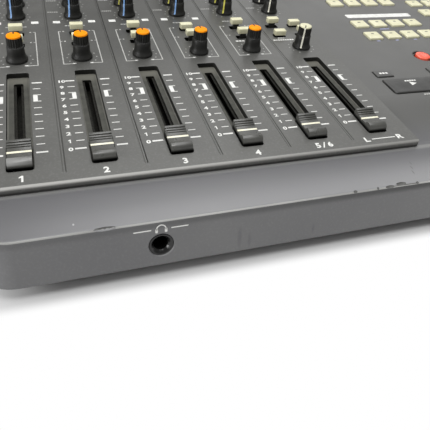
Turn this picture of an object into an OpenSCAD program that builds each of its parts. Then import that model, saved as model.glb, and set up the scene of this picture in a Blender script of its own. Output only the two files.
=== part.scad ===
// Minidisc multitrack recorder: a six-strip fader mixer on the left and the
// recorder's keys, dial and display on the right of one sloping case.
// Units are millimetres. X runs to the right, Y to the rear and Z up. The
// origin is on the table, below the middle of the case.

/* [Case] */
// Overall width
body_w = 436; // [434:1:450]
// Overall depth
body_d = 310; // [308:1:330]
// Wall thickness of the upper case
wall = 2.5; // [2.2:0.1:2.8]
// Corner radius of the case seen from above
corner_r = 15; // [10:1:20]
// Height of the vertical front face
front_h = 22; // [21.5:0.5:25]
// Radius of the front lip
lip_r = 1.6; // [0.8:0.1:2.2]
// Slope of the wrist rest in degrees
wrist_tilt = 11; // [10:0.5:12]
// Depth of the wrist rest from the front face to the ridge
wrist_run = 27.3; // [27:0.1:30]
// Radius of the top rear edge
rear_r = 12; // [10:1:14]
// Height of the rubber feet
foot_h = 6; // [5:0.5:8]
// Radius of the rubber feet
foot_r = 10; // [8:0.5:11]
// Thickness of the bottom cover
cover_t = 2; // [1.5:0.1:2.5]
// Thickness of the rear panel
rear_t = 1.5; // [1:0.1:2]

/* [Control surface] */
// Slope of the control surface in degrees
tilt = 14; // [13:0.5:15]
// Radius of the rounded ridge along the front of the mixer panel
ridge_r = 2.2; // [2:0.1:2.4]
// Thickness of the mixer panel
panel_t = 2.5; // [2.2:0.1:2.8]
// Step down from the mixer panel to the recorder deck
deck_drop = 0.6; // [0.4:0.1:1]
// Length over which the wrist rest rises into the recorder deck
blend_run = 40; // [36:1:42]
// Gap round the mixer panel, the display window and the bottom cover
fit = 0.25; // [0.15:0.05:0.35]

/* [Faders] */
// Distance from one mixer strip to the next
strip_pitch = 35.7; // [35:0.1:36]
// Travel of a fader
fader_travel = 60; // [55:1:60]
// Width of the sunken fader trough
trough_w = 11.4; // [11.2:0.1:12]
// Depth of the fader trough
trough_d = 3; // [2.8:0.1:3.2]
// Width of the slot in the trough floor
slot_w = 4.8; // [4.2:0.1:5.4]
// Gap on each side of a fader cap in its trough
cap_gap = 0.4; // [0.35:0.05:0.6]
// Thickness of the fader lever
lever_t = 1.2; // [1:0.1:1.4]

/* [Knobs] */
// Radius of a knob at its skirt
knob_r = 6; // [5.5:0.1:6.3]
// Height of a knob
knob_h = 15.5; // [14.5:0.1:16.5]
// Radius of the coloured knob cap
cap_r = 3.65; // [3.4:0.05:3.7]
// Radius of a knob shaft
shaft_r = 3; // [2.8:0.1:3.1]
// Gap round a turning or sliding shaft
shaft_gap = 0.5; // [0.4:0.05:0.6]
// Gap between a knob and the panel
knob_lift = 0.5; // [0.4:0.05:0.8]
// Distance from one row of send and tone knobs to the next
knob_row = 19; // [18:0.5:19.5]

/* [Keys] */
// Width of a cream key
key_w = 11.3; // [10.5:0.1:11.5]
// Depth of a cream key
key_d = 10.5; // [10:0.1:11]
// Distance from one cream key to the next
key_pitch = 15.8; // [15.4:0.1:16.4]
// Height of a key above the deck
key_h = 1.2; // [1:0.1:1.8]
// Gap round a key in its hole
key_gap = 0.4; // [0.35:0.05:0.5]
// Travel of a key
key_travel = 1.2; // [0.8:0.1:1.4]
// Travel of a push switch on the mixer strips
switch_travel = 2.5; // [2:0.1:2.6]
// Radius of the record button
record_r = 5; // [4.5:0.1:5.2]
// Radius of the jog dial
jog_r = 31; // [28:0.5:32]

/* [Sockets and disc] */
// Outer radius of the headphone jack's ring
jack_ring_r = 5.25; // [5:0.05:5.5]
// Radius of the bore of a jack for a 6.35 mm plug
jack_bore_r = 3.2; // [3.2:0.05:3.3]
// Width of the disc slot
slot_open_w = 74; // [73:0.5:76]
// Height of the disc slot
slot_open_h = 7.4; // [7:0.1:7.6]
// Travel of the pickup sled
sled_travel = 18; // [14:0.5:19]

/* [Hidden] */
$fn = 48;
e = 0.01;
seat = 0.05;
strips = 6;
last = strips - 1;

// Positions on the control surface: u to the right from the first strip,
// v up the slope from the fader's zero mark, w out of the surface.
side_margin = 19;
seam_u = last * strip_pitch + 19.5;
x0 = side_margin - body_w / 2;
front_y = -body_d / 2;
rear_y = body_d / 2;
lip_z = foot_h + front_h;
floor_z = foot_h + cover_t;
ridge_v = -20.8;
ridge_gap = 0.1;
axis_y = front_y + wrist_run;
axis_z = lip_z + wrist_run * tan(wrist_tilt) + (ridge_r + ridge_gap) / cos(wrist_tilt);
zero_y = axis_y - ridge_r * sin(tilt) - ridge_v * cos(tilt);
zero_z = axis_z + ridge_r * cos(tilt) - ridge_v * sin(tilt);
mix_u0 = -15.5;
mix_v1 = 238;
open_v0 = ridge_v + 2.3;
blend_y = axis_y + 2;

// Rows of the mixer
pan_v = 86;
send_v = 143.3;
row_v = [for (i = [0:3]) send_v + i * knob_row];
switch_v = [103.6, 118.2];
main_switch_u = 8.5;

// Fader cap and trough
line_v = -1.4;
cap_rear = 7.4;
cap_front = 9.25;
cap_foot = 8.2;
cap_low = -2.2;
cap_flat_w = 2.4;
cap_rear_w = 4.2;
cap_round = 0.6;
cap_w = trough_w - 2 * cap_gap;
dish_r = 9.8;
dish_v = 0.6;
dish_dip = 0.06;
roll_r = 2.85;
roll_w = 1;
rib_v = 3;
rib_pitch = 0.85;
rib_t = 0.4;
rib_d = 0.35;
trough_front = 0.95;
trough_rear = 5.3;
trough_v0 = line_v - cap_front - trough_front;
trough_v1 = line_v + fader_travel + cap_rear + trough_rear;
slot_v0 = line_v - 4.6;
slot_v1 = line_v + fader_travel + 6.4;
trough_wall = 1.2;
unit_w = -trough_d - trough_wall;
unit_h = 8;

// Boards
pcb_t = 1.6;
mixer_pcb_w = -14.4;
main_pcb_w = -14;
mixer_pcb_edge = [12, 10, 18];
main_pcb_spot = [4, 16];
main_pcb = [206, 168];

// Push switches
sw_w = 8;
sw_d = 4.2;
sw_top = 6.6;
sw_cap_h = 3.4;
stem_w = 3.6;
stem_d = 3;
stem_low = -6.8;
sw_hole_w = 9.8;
sw_hole_d = 6;
latch = 2.3;
front_switches = concat(
    [for (k = [0:4]) [k * strip_pitch, 0]],
    [[last * strip_pitch - main_switch_u, latch], [last * strip_pitch + main_switch_u, 0]]
);
back_switches = concat(
    [for (k = [0:4]) [k * strip_pitch, k == 3 ? latch : 0]],
    [[last * strip_pitch - main_switch_u, 0], [last * strip_pitch + main_switch_u, latch]]
);

// Recorder deck, measured to the right from the seam
key_u = 44.6;
flange_t = 1.2;
flange_w = -wall - 0.5;
locate_spots = [for (j = [0:1]) for (i = [0:3]) [key_u + i * key_pitch, 98 + j * 19.3]];
edit_spots = concat(
    [for (i = [0:3]) [key_u - 0.5 + i * (key_pitch + 0.4), 156.5]],
    [for (j = [0:1]) for (i = [0:3]) [118.6 + i * key_pitch, 134.4 + j * 18.4]]
);
big_w = 40.4;
big_d = 15.8;
big_pitch = 41.4;
big_spot = [35, 31];
small_w = 12;
small_d = 7;
small_spots = [for (i = [0:1]) [20 + i * big_pitch, 45.9]];
record_spot = [65.2, 66];
jog_spot = [160, 52];
window_w = 150;
window_d = 40;
window_t = 1.5;
window_spot = [118, 200];

// Front face
jack_x = x0 + 52.7;
jack_z = foot_h + 10.3;
disc_in = 88;
disc_x = body_w / 2 - disc_in;
disc_z = foot_h + 12;
hinge_y = front_y + wall + 1;
hinge_z = disc_z + slot_open_h / 2 + 1.7;
flap_t = 1.2;
flap_w = slot_open_w + 2;
pin_r = 0.9;

// Disc drive
drive_y = front_y + 14;
drive_l = 100;
drive_h = 18;
spin_y = drive_y + 40;
spin_r = 8.5;
bay_z = disc_z - slot_open_h / 2 - 0.6;
rod_r = 0.8;
rod_z = 2.7;

// Fastenings
screw_r = 1.15;
boss_r = 4;
boss_bore = 1.25;
boss_in = 3.2;
side_x = body_w / 2 - wall - boss_in;
end_y = body_d / 2 - wall - boss_in;
boss_spots = [
    [-side_x, -90, 16], [side_x, -90, 16], [-side_x, 70, 16], [side_x, 70, 16],
    [-90, -end_y, 12], [40, -end_y, 12], [-110, end_y, 10], [110, end_y, 10]
];
foot_in = [40, 33];
foot_spots = [
    for (x = [-1, 1]) for (y = [-1, 1]) [x * (body_w / 2 - foot_in[0]), y * (body_d / 2 - foot_in[1])]
];

// Rear panel on the left and power plate on the right
rear_in = rear_y - wall;
rear_z0 = floor_z + 12;
rear_z1 = floor_z + 76;
rear_margin = 18;
rear_half = body_w / 2 - rear_margin;
rear_lap = 4;
power_w = 96;
power_x0 = rear_half - power_w;
rear_screws = [for (x = [-1, 1]) for (z = [rear_z0 + 9, rear_z1 - 9]) [x * (rear_half - 10), z]];
rear_mid = floor_z + 44;
socket_in = 32;
socket_pitch = 24;
socket_x = [for (i = [0:7]) socket_in - rear_half + socket_pitch * i];
jack_spots = [for (x = socket_x) [x, floor_z + 30]];
phono_spots = [for (x = socket_x) [x, floor_z + 58]];
din_in = 44;
din_pitch = 30;
din_spots = [for (i = [0:1]) [socket_x[7] + din_in + din_pitch * i, rear_mid]];
inlet_in = 56;
rocker_in = 16;
inlet_spot = [power_x0 + inlet_in, rear_mid];
rocker_spot = [power_x0 + rocker_in, rear_mid];
rocker_r = 9;
rocker_w = 11;

case_grey = "#70706c";
cap_grey = "#4a4a48";
knob_black = "#2a2a28";
cream = "#e6e6c2";
orange = "#ff9a10";
blue = "#7fa6d6";
yellow = "#cfc85a";
white = "#f0ecdc";

// A point of the mixer panel's plane becomes the origin, Z along its normal.
module on_panel(u, v, w = 0) {
    translate([x0 + u, zero_y, zero_z])
        rotate([tilt, 0, 0])
            translate([0, v, w])
                children();
}

// The same on the recorder deck, measured from the seam.
module on_deck(spot, w = 0) {
    on_panel(seam_u + spot[0], spot[1], w - deck_drop)
        children();
}

// Rectangle with round corners, centred.
module round_rect(w, d, r) {
    square([w - 2 * r, d], center = true);
    square([w, d - 2 * r], center = true);
    for (x = [-1, 1], y = [-1, 1])
        translate([x * (w / 2 - r), y * (d / 2 - r)])
            circle(r);
}

// Plate with round corners that stands on the origin.
module slab(w, d, r, h) {
    linear_extrude(h)
        round_rect(w, d, r);
}

// Centred plate from one height to another.
module block(w, d, low, high) {
    translate([-w / 2, -d / 2, low])
        cube([w, d, high - low]);
}

// Cylinder along Y from one depth to another.
module rod_y(r, from, to) {
    translate([0, to, 0])
        rotate([90, 0, 0])
            cylinder(r = r, h = to - from);
}

function wrist_z(y) = lip_z + (y - front_y) * tan(wrist_tilt);
function plane_z(y) = zero_z + (y - zero_y) * tan(tilt) - deck_drop / cos(tilt);
function ease(t) = t * t * (3 - 2 * t);
function mix(a, b, s) = a * (1 - s) + b * s;
function deck_z(y) =
    y <= blend_y ? wrist_z(y) :
    y >= blend_y + blend_run ? plane_z(y) :
    mix(wrist_z(y), plane_z(y), ease((y - blend_y) / blend_run));
function arc(c, r, from, to, n) = [
    for (i = [0:n]) let (a = mix(from, to, i / n)) [c[0] + r * cos(a), c[1] + r * sin(a)]
];
rear_c = [rear_y - rear_r, plane_z(rear_y - rear_r) - rear_r / cos(tilt)];
blend_points = [for (i = [0:12]) let (y = blend_y + blend_run * i / 12) [y, deck_z(y)]];

// Side view of the case: front face, lip, wrist rest, deck and rear edge.
module case_outline() {
    lip_c = [front_y + lip_r, wrist_z(front_y + lip_r) - lip_r / cos(wrist_tilt)];
    polygon(concat(
        [[front_y, foot_h]],
        arc(lip_c, lip_r, 180, 90 + wrist_tilt, 5),
        blend_points,
        arc(rear_c, rear_r, 90 + tilt, 0, 8),
        [[rear_y, foot_h]]
    ));
}

// Side view of the hollow, open at the bottom.
module hollow_outline() {
    t = wall / cos(tilt);
    y0 = front_y + wall;
    y1 = rear_y - rear_r;
    polygon(concat(
        [[y0, foot_h - 1], [y0, wrist_z(y0) - t]],
        [for (p = blend_points) [p[0], p[1] - t]],
        [[y1, plane_z(y1) - t], [rear_y - wall, rear_c[1]], [rear_y - wall, foot_h - 1]]
    ));
}

// A side view becomes a body across the case with rounded corners in plan.
module across(inset) {
    intersection() {
        translate([-body_w / 2 + inset, 0, 0])
            rotate([90, 0, 90])
                linear_extrude(body_w - 2 * inset)
                    children();
        slab(body_w - 2 * inset, body_d - 2 * inset, corner_r - inset, 200);
    }
}

// Upper case moulding.
module upper_case() {
    color(case_grey)
        difference() {
            union() {
                difference() {
                    across(0)
                        case_outline();
                    translate([0, 0, -1])
                        across(wall)
                            translate([0, 1])
                                hollow_outline();
                    translate([x0 + mix_u0, zero_y, zero_z])
                        rotate([tilt, 0, 0])
                            translate([0, open_v0, -16])
                                cube([seam_u - mix_u0, mix_v1 - open_v0, 30]);
                }
                panel_ledges();
                case_bosses();
                door_ears();
                jog_cup();
                board_posts();
            }
            deck_holes();
            front_holes();
            rear_opening();
        }
}

// Ledges that the mixer panel lies on.
module panel_ledges() {
    low = -panel_t - 3;
    v0 = 16;
    for (u = [-side_margin + 1, seam_u - 8])
        on_panel(u, v0, low)
            cube([u < 0 ? 8 : 12, mix_v1 + 5 - v0, 3]);
    on_panel(-side_margin + 1, mix_v1 - 6, low)
        cube([seam_u + side_margin + 3, 11, 3]);
}

// Screw bosses on the walls, for the bottom cover and the rear panel.
module case_bosses() {
    for (b = boss_spots)
        translate([b[0], b[1], floor_z])
            difference() {
                cylinder(r = boss_r, h = b[2]);
                translate([0, 0, -e])
                    cylinder(r = boss_bore, h = b[2] - 2);
            }
    for (s = rear_screws)
        difference() {
            translate([s[0], 0, s[1]])
                union() {
                    rod_y(boss_r, rear_in - rear_t - 12, rear_in - rear_t);
                    translate([s[0] < 0 ? -body_w / 2 + 5 - s[0] : 0, rear_in - rear_t - 8, -1.5])
                        cube([body_w / 2 - 5 - abs(s[0]), 6, 3]);
                }
            translate([s[0], 0, s[1]])
                rod_y(boss_bore, rear_in - rear_t - 10, rear_in);
        }
}

// Ears behind the front wall that carry the disc flap's pins.
module door_ears() {
    for (side = [-1, 1])
        translate([disc_x + side * (flap_w / 2 + 0.5 + 1.5), hinge_y, hinge_z])
            difference() {
                translate([-1.5, -1 - 0.5, -2.6])
                    cube([3, 4.2, 5.2]);
                rotate([0, 90, 0])
                    cylinder(r = pin_r + shaft_gap, h = 10, center = true);
            }
}

// Shallow cup that the jog dial turns in.
module jog_cup() {
    on_deck(jog_spot, 0)
        difference() {
            translate([0, 0, -8.5])
                cylinder(r = jog_r + 3, h = 6.9);
            translate([0, 0, -6.5])
                cylinder(r = jog_r + 1, h = 12);
            translate([0, 0, -10])
                cylinder(r = 4 + shaft_gap, h = 12);
        }
}

// Posts under the deck that hold the main board.
module board_posts() {
    for (s = [[8, 60], [8, 150], [205, 118], [205, 180], [118, 118], [118, 170]])
        on_deck(s, main_pcb_w + deck_drop)
            cylinder(r = 3, h = -main_pcb_w - deck_drop - 1);
}

// Key holes, dial recess and display opening.
module deck_holes() {
    for (s = concat(locate_spots, edit_spots))
        on_deck(s, -8)
            slab(key_w + 2 * key_gap, key_d + 2 * key_gap, 0.9, 12);
    for (i = [0:1])
        on_deck([big_spot[0] + i * big_pitch, big_spot[1]], -8)
            slab(big_w + 2 * key_gap, big_d + 2 * key_gap, 2.2, 16);
    for (s = small_spots)
        on_deck(s, -8)
            slab(small_w + 2 * key_gap, small_d + 2 * key_gap, 0.9, 12);
    on_deck(record_spot, -8)
        cylinder(r = record_r + 0.7, h = 12);
    on_deck(jog_spot, -6.5)
        cylinder(r = jog_r + 1, h = 14);
    on_deck(window_spot, -window_t)
        slab(window_w + 2 * fit, window_d + 2 * fit, 2, 8);
    on_deck(window_spot, -8)
        slab(window_w - 4, window_d - 4, 1, 12);
}

// Jack hole and disc slot in the front face.
module front_holes() {
    translate([jack_x, 0, jack_z])
        rod_y(jack_ring_r + 0.1, front_y - 1, front_y + wall + 1);
    translate([disc_x, front_y + wall + 1, disc_z])
        rotate([90, 0, 0])
            slab(slot_open_w, slot_open_h, 1, wall + 2);
}

// Opening in the rear wall over the rear panel.
module rear_opening() {
    translate([0, rear_y + 1, (rear_z0 + rear_z1) / 2])
        rotate([90, 0, 0])
            slab(2 * (rear_half - rear_lap), rear_z1 - rear_z0 - 2 * rear_lap, 3, wall + 1);
}

// Mixer panel with its ridge, troughs, holes and strip grooves.
module mixer_panel() {
    color(case_grey)
        difference() {
            union() {
                panel_plate();
                for (k = [0:last])
                    on_panel(k * strip_pitch, (trough_v0 + trough_v1) / 2, unit_w)
                        slab(trough_w + 2 * trough_wall, trough_v1 - trough_v0 + 2 * trough_wall, 2, -unit_w - e);
            }
            for (k = [0:last])
                fader_trough(k * strip_pitch);
            for (s = knob_spots)
                on_panel(s[0], s[1], -10)
                    cylinder(r = shaft_r + shaft_gap + 0.3, h = 20);
            for (i = [0:last + 1]) {
                on_panel(front_switches[i][0], switch_v[0], -10)
                    slab(sw_hole_w, sw_hole_d, 2.6, 20);
                on_panel(back_switches[i][0], switch_v[1], -10)
                    slab(sw_hole_w, sw_hole_d, 2.6, 20);
            }
            for (k = [0:last - 1], side = [-1, 1])
                on_panel((k + 0.5) * strip_pitch + side * 0.55 - 0.2, -15.5, -0.35)
                    cube([0.4, mix_v1 + 20, 1]);
        }
}

// Flat plate with a rounded ridge along its front, and round corners in plan.
module panel_plate() {
    w = seam_u - mix_u0 - 2 * fit;
    d = mix_v1 - fit - ridge_v + ridge_r;
    intersection() {
        on_panel(mix_u0 + fit, 0)
            rotate([90, 0, 90])
                linear_extrude(w)
                    polygon(concat(
                        [[mix_v1 - fit, -panel_t], [mix_v1 - fit, 0]],
                        arc([ridge_v, -ridge_r], ridge_r, 90, 270, 12),
                        [[ridge_v + 1.6, -2 * ridge_r], [ridge_v + 1.6, -panel_t]]
                    ));
        on_panel(mix_u0 + fit + w / 2, ridge_v - ridge_r + d / 2, -10)
            slab(w, d, 2.5, 20);
    }
}

// Trough opening and the slot in its floor.
module fader_trough(u) {
    on_panel(u, (trough_v0 + trough_v1) / 2, -trough_d)
        slab(trough_w, trough_v1 - trough_v0, 1.4, 10);
    on_panel(u, (slot_v0 + slot_v1) / 2, -10)
        slab(slot_w, slot_v1 - slot_v0, 1, 10);
}

knob_spots = concat(
    [for (k = [0:last]) [k * strip_pitch, pan_v]],
    [for (i = [0:1]) for (k = [0:last]) [k * strip_pitch, row_v[i]]],
    [for (i = [2:3]) for (k = [0:3]) [k * strip_pitch, row_v[i]]]
);

// Bottom cover with screw holes and cooling slots.
module bottom_cover() {
    inset = wall + fit;
    color("#50504e")
        difference() {
            translate([0, 0, foot_h])
                slab(body_w - 2 * inset, body_d - 2 * inset, corner_r - inset, cover_t);
            for (b = boss_spots)
                translate([b[0], b[1], 0])
                    cylinder(r = screw_r + 0.5, h = 30);
            for (i = [0:6])
                translate([power_x0 + 9 * i, rear_y - 71, 0])
                    slab(3, 46, 1.4, 30);
        }
}

// Rear panel with its socket holes.
module rear_panel() {
    color("#3a3a3a")
        difference() {
            rear_plate(-rear_half, power_x0 - fit);
            for (s = jack_spots)
                rear_hole(s, 4.6 + 0.2);
            for (s = phono_spots)
                rear_hole(s, 4.2 + 0.2);
            for (s = din_spots)
                rear_hole(s, 8 + 0.2);
            for (s = rear_screws)
                rear_hole(s, screw_r + 0.4);
        }
}

// Plate behind the rear wall from one side to another.
module rear_plate(from, to) {
    translate([from, rear_in - rear_t, rear_z0])
        cube([to - from, rear_t, rear_z1 - rear_z0]);
}

module rear_hole(spot, r) {
    translate([spot[0], 0, spot[1]])
        rod_y(r, rear_in - 10, rear_y);
}

// Rubber feet with a hollow underneath.
module rubber_feet() {
    color("#1c1c1c")
        for (s = foot_spots)
            translate([s[0], s[1], 0])
                difference() {
                    rotate_extrude()
                        polygon([[0, 0], [foot_r - 1, 0], [foot_r, 1], [foot_r, foot_h], [0, foot_h]]);
                    translate([0, 0, -e])
                        cylinder(r = 4, h = 2);
                }
}

// Screws of the bottom cover and the rear panel.
module case_screws() {
    color("#8a8a86") {
        for (b = boss_spots)
            translate([b[0], b[1], foot_h])
                screw(cover_t + b[2] - 4);
        for (s = rear_screws)
            translate([s[0], rear_in, s[1]])
                rotate([90, 0, 0])
                    screw(rear_t + 8);
    }
}

// Pan-head screw whose head lies below the origin.
module screw(length) {
    difference() {
        union() {
            translate([0, 0, -1.6])
                cylinder(r = 2.8, h = 1.6);
            translate([0, 0, -e])
                cylinder(r = screw_r, h = length);
        }
        for (a = [0, 90])
            rotate([0, 0, a])
                translate([-1.6, -0.3, -2])
                    cube([3.2, 0.6, 1.2]);
    }
}

// Mixer board with its push switches, main board with its key switches.
module circuit_boards() {
    color("#3c5a40") {
        on_panel(-mixer_pcb_edge[0], pan_v - mixer_pcb_edge[1], mixer_pcb_w - pcb_t)
            cube([seam_u + 4, row_v[3] + mixer_pcb_edge[2] - pan_v, pcb_t]);
        for (i = [0:last + 1]) {
            on_panel(front_switches[i][0], switch_v[0])
                switch_body();
            on_panel(back_switches[i][0], switch_v[1])
                switch_body();
        }
        on_panel(seam_u + main_pcb_spot[0], main_pcb_spot[1], main_pcb_w - pcb_t)
            cube([main_pcb[0], main_pcb[1], pcb_t]);
        for (s = concat(locate_spots, edit_spots, small_spots, [record_spot]))
            on_panel(seam_u + s[0], s[1])
                block(6, 6, main_pcb_w, main_pcb_w + 3.4);
        for (i = [0:1])
            on_panel(seam_u + big_spot[0] + i * big_pitch, big_spot[1])
                block(6, 6, main_pcb_w, main_pcb_w + 3.4);
        on_panel(seam_u + jog_spot[0], jog_spot[1], main_pcb_w)
            difference() {
                cylinder(r = 8, h = 4.4);
                translate([0, 0, 0.8])
                    cylinder(r = 4 + shaft_gap, h = 5);
            }
    }
}

// Housing of a push switch, open at the top.
module switch_body() {
    difference() {
        block(8, 7, mixer_pcb_w, -6);
        block(stem_w + 2 * shaft_gap, stem_d + 2 * shaft_gap, mixer_pcb_w + 2, -5);
    }
}

// Slide units that the fader levers run in.
module fader_units() {
    color("#3a3a3c")
        for (k = [0:last])
            on_panel(k * strip_pitch, (slot_v0 + slot_v1) / 2)
                difference() {
                    block(12.6, slot_v1 - slot_v0 + 14, unit_w - unit_h, unit_w);
                    block(9.4, slot_v1 - slot_v0 + 6, unit_w - unit_h + 1, unit_w - 1);
                    block(lever_t + 2 * shaft_gap + 0.2, slot_v1 - slot_v0, unit_w - 2, unit_w + 1);
                }
}

// Rotary pots under the panel, one for each knob.
module rotary_pots() {
    color("#8c8c88")
        for (s = knob_spots)
            on_panel(s[0], s[1])
                difference() {
                    union() {
                        block(9.6, 11, mixer_pcb_w, -7.4);
                        translate([0, 0, -7.4 - e])
                            cylinder(r = 4.6, h = 7.4 - panel_t + e);
                    }
                    translate([0, 0, mixer_pcb_w + 2])
                        cylinder(r = shaft_r + shaft_gap, h = 20);
                }
}

// Headphone jack with a chamfered mouth.
module headphone_jack() {
    color("#181818")
        translate([jack_x, 0, jack_z])
            difference() {
                union() {
                    rod_y(jack_ring_r, front_y + 0.2, front_y + wall + 4);
                    translate([-8, front_y + wall + 0.05, -2.2 - (jack_z - floor_z - 2.6)])
                        cube([16, 26, jack_z - floor_z + 6]);
                }
                rod_y(jack_bore_r, front_y - 1, front_y + wall + 24);
                translate([0, front_y + 0.2 - e, 0])
                    rotate([-90, 0, 0])
                        cylinder(r1 = jack_bore_r + 1.2, r2 = jack_bore_r, h = 1.2);
            }
}

// Line jacks, phono sockets and round control sockets on the rear panel.
module rear_sockets() {
    back = rear_in - rear_t;
    color("#202020") {
        for (s = jack_spots)
            translate([s[0], 0, s[1]])
                difference() {
                    union() {
                        translate([-8, back - 27, -7])
                            cube([16, 27, 14]);
                        rod_y(4.6, back - e, rear_in + 2.2);
                        translate([0, rear_in + 1.7, 0])
                            rotate([90, 0, 0])
                                cylinder(r = 6.6, h = 1.7, $fn = 6);
                    }
                    rod_y(jack_bore_r, back - 22, rear_y);
                }
        for (s = phono_spots)
            translate([s[0], 0, s[1]])
                difference() {
                    union() {
                        translate([-6, back - 10, -6])
                            cube([12, 10, 12]);
                        rod_y(4.2, back - e, rear_in + 2.3);
                    }
                    rod_y(1.7, back - 6, rear_y);
                }
        for (s = din_spots)
            translate([s[0], 0, s[1]])
                difference() {
                    union() {
                        rod_y(10, back - 12, back);
                        rod_y(8, back - e, rear_in + 0.6);
                    }
                    rod_y(6.6, rear_in - 0.6, rear_y);
                    for (a = [0:45:180])
                        translate([5 * cos(a), 0, 5 * sin(a)])
                            rod_y(0.9, rear_in - 9, rear_y);
                }
    }
}

// Power plate with the mains inlet and rocker housing, and the transformer.
module power_unit() {
    back = rear_in - rear_t;
    color("#262626") {
        difference() {
            rear_plate(power_x0, rear_half);
            for (s = rear_screws)
                rear_hole(s, screw_r + 0.4);
            translate([inlet_spot[0], rear_y, inlet_spot[1]])
                rotate([90, 0, 0])
                    slab(26 + 0.4, 14 + 0.4, 3, 20);
            translate([rocker_spot[0], rear_y, rocker_spot[1]])
                rotate([90, 0, 0])
                    slab(17 + 0.4, 22 + 0.4, 1, 20);
        }
        translate([inlet_spot[0], 0, inlet_spot[1]])
            difference() {
                union() {
                    translate([0, back, 0])
                        rotate([90, 0, 0])
                            slab(32, 20, 2, 18);
                    translate([0, rear_in + 1, 0])
                        rotate([90, 0, 0])
                            slab(26, 14, 3, rear_t + 1 + e);
                }
                translate([0, rear_y, 0])
                    rotate([90, 0, 0])
                        slab(20, 9, 4.2, wall + 14);
            }
        translate([inlet_spot[0], 0, inlet_spot[1]])
            for (x = [-4.3, 4.3])
                translate([x, 0, 0])
                    rod_y(1.2, rear_in - 14, rear_in - 3);
        translate([rocker_spot[0], 0, rocker_spot[1]])
            difference() {
                union() {
                    translate([0, back, 0])
                        rotate([90, 0, 0])
                            slab(21, 26, 1, 20);
                    translate([0, rear_in + 1, 0])
                        rotate([90, 0, 0])
                            slab(17, 22, 1, rear_t + 1 + e);
                }
                translate([0, rear_y, 0])
                    rotate([90, 0, 0])
                        slab(rocker_w + 1.6, 18.6, 0.6, wall + 18);
                translate([0, rear_in - 6.6, 0])
                    rotate([0, 90, 0])
                        cylinder(r = 1.5 + shaft_gap, h = 16, center = true);
            }
    }
    color("#4e4a44")
        translate([rear_half - 44, rear_y - 59, floor_z]) {
            translate([-32, -26, 0])
                cube([64, 52, 3]);
            translate([-24, -20, 3])
                cube([48, 40, 36]);
            for (x = [-31, 24])
                translate([x, -13, 6])
                    cube([7, 26, 28]);
        }
}

// Clear window over the display.
module display_window() {
    color("#20262a")
        on_deck(window_spot, -window_t)
            slab(window_w, window_d, 2 - fit, window_t);
}

// Display module under the deck.
module lcd_module() {
    color("#7d8a6a")
        on_deck(window_spot, -wall - 4)
            block(window_w + 4, window_d + 4, 0, 4);
}

// Disc drive: a bay that takes the cartridge, a motor and two guide rods.
module disc_drive() {
    color("#77797c")
        translate([disc_x, drive_y, floor_z]) {
            difference() {
                translate([-44, 0, 0])
                    cube([88, drive_l, drive_h]);
                translate([-slot_open_w / 2 - 1, -1, bay_z - floor_z])
                    cube([slot_open_w + 2, drive_l - 5, slot_open_h + 1.4]);
                translate([-38, 4, 1])
                    cube([76, drive_l - 8, 3.4]);
                translate([-11, spin_y - drive_y - 11, 3])
                    cube([22, 50, 5]);
            }
            translate([0, spin_y - drive_y, 1 - e])
                difference() {
                    cylinder(r = 10, h = 1.4);
                    translate([0, 0, 0.5])
                        cylinder(r = 1.5 + shaft_gap, h = 3);
                }
            for (x = [-20, 20])
                translate([x, 0, rod_z])
                    rod_y(rod_r, 4 - e, drive_l - 4 + e);
        }
}

// Fader cap with finger ribs, its lever and its slider.
module fader(k) {
    on_panel(k * strip_pitch, line_v) {
        color(cap_grey)
            difference() {
                translate([-cap_w / 2, 0, 0])
                    rotate([90, 0, 90])
                        linear_extrude(cap_w)
                            cap_outline();
                for (i = [0:3])
                    translate([-cap_w, rib_v + rib_pitch * i, dish_w(rib_v + rib_pitch * i) - rib_d])
                        cube([2 * cap_w, rib_t, 2]);
                block(lever_t + 2 * seat, 4 + 2 * seat, cap_low - 1, cap_low + 1.4 + seat);
            }
        color("#9a9a98") {
            block(lever_t, 4, unit_w - 5, cap_low + 1.4);
            block(7, 8, unit_w - 6, unit_w - 3);
        }
    }
}

// Side view of a fader cap: a finger dish that rises to the rear, a flat and a front roll.
module cap_outline() {
    difference() {
        translate([(cap_rear - cap_foot) / 2, (cap_rear_w + cap_low) / 2])
            round_rect(cap_rear + cap_foot, cap_rear_w - cap_low, cap_round);
        translate([dish_v, cap_flat_w - dish_dip + dish_r])
            circle(dish_r);
        translate([-cap_front, cap_flat_w])
            square([cap_front + dish_v, dish_r]);
    }
    translate([roll_r - cap_front, roll_w])
        circle(roll_r);
}

// Height of the finger dish at a place along the cap.
function dish_w(v) = cap_flat_w - dish_dip + dish_r - sqrt(pow(dish_r, 2) - pow(v - dish_v, 2));

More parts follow.
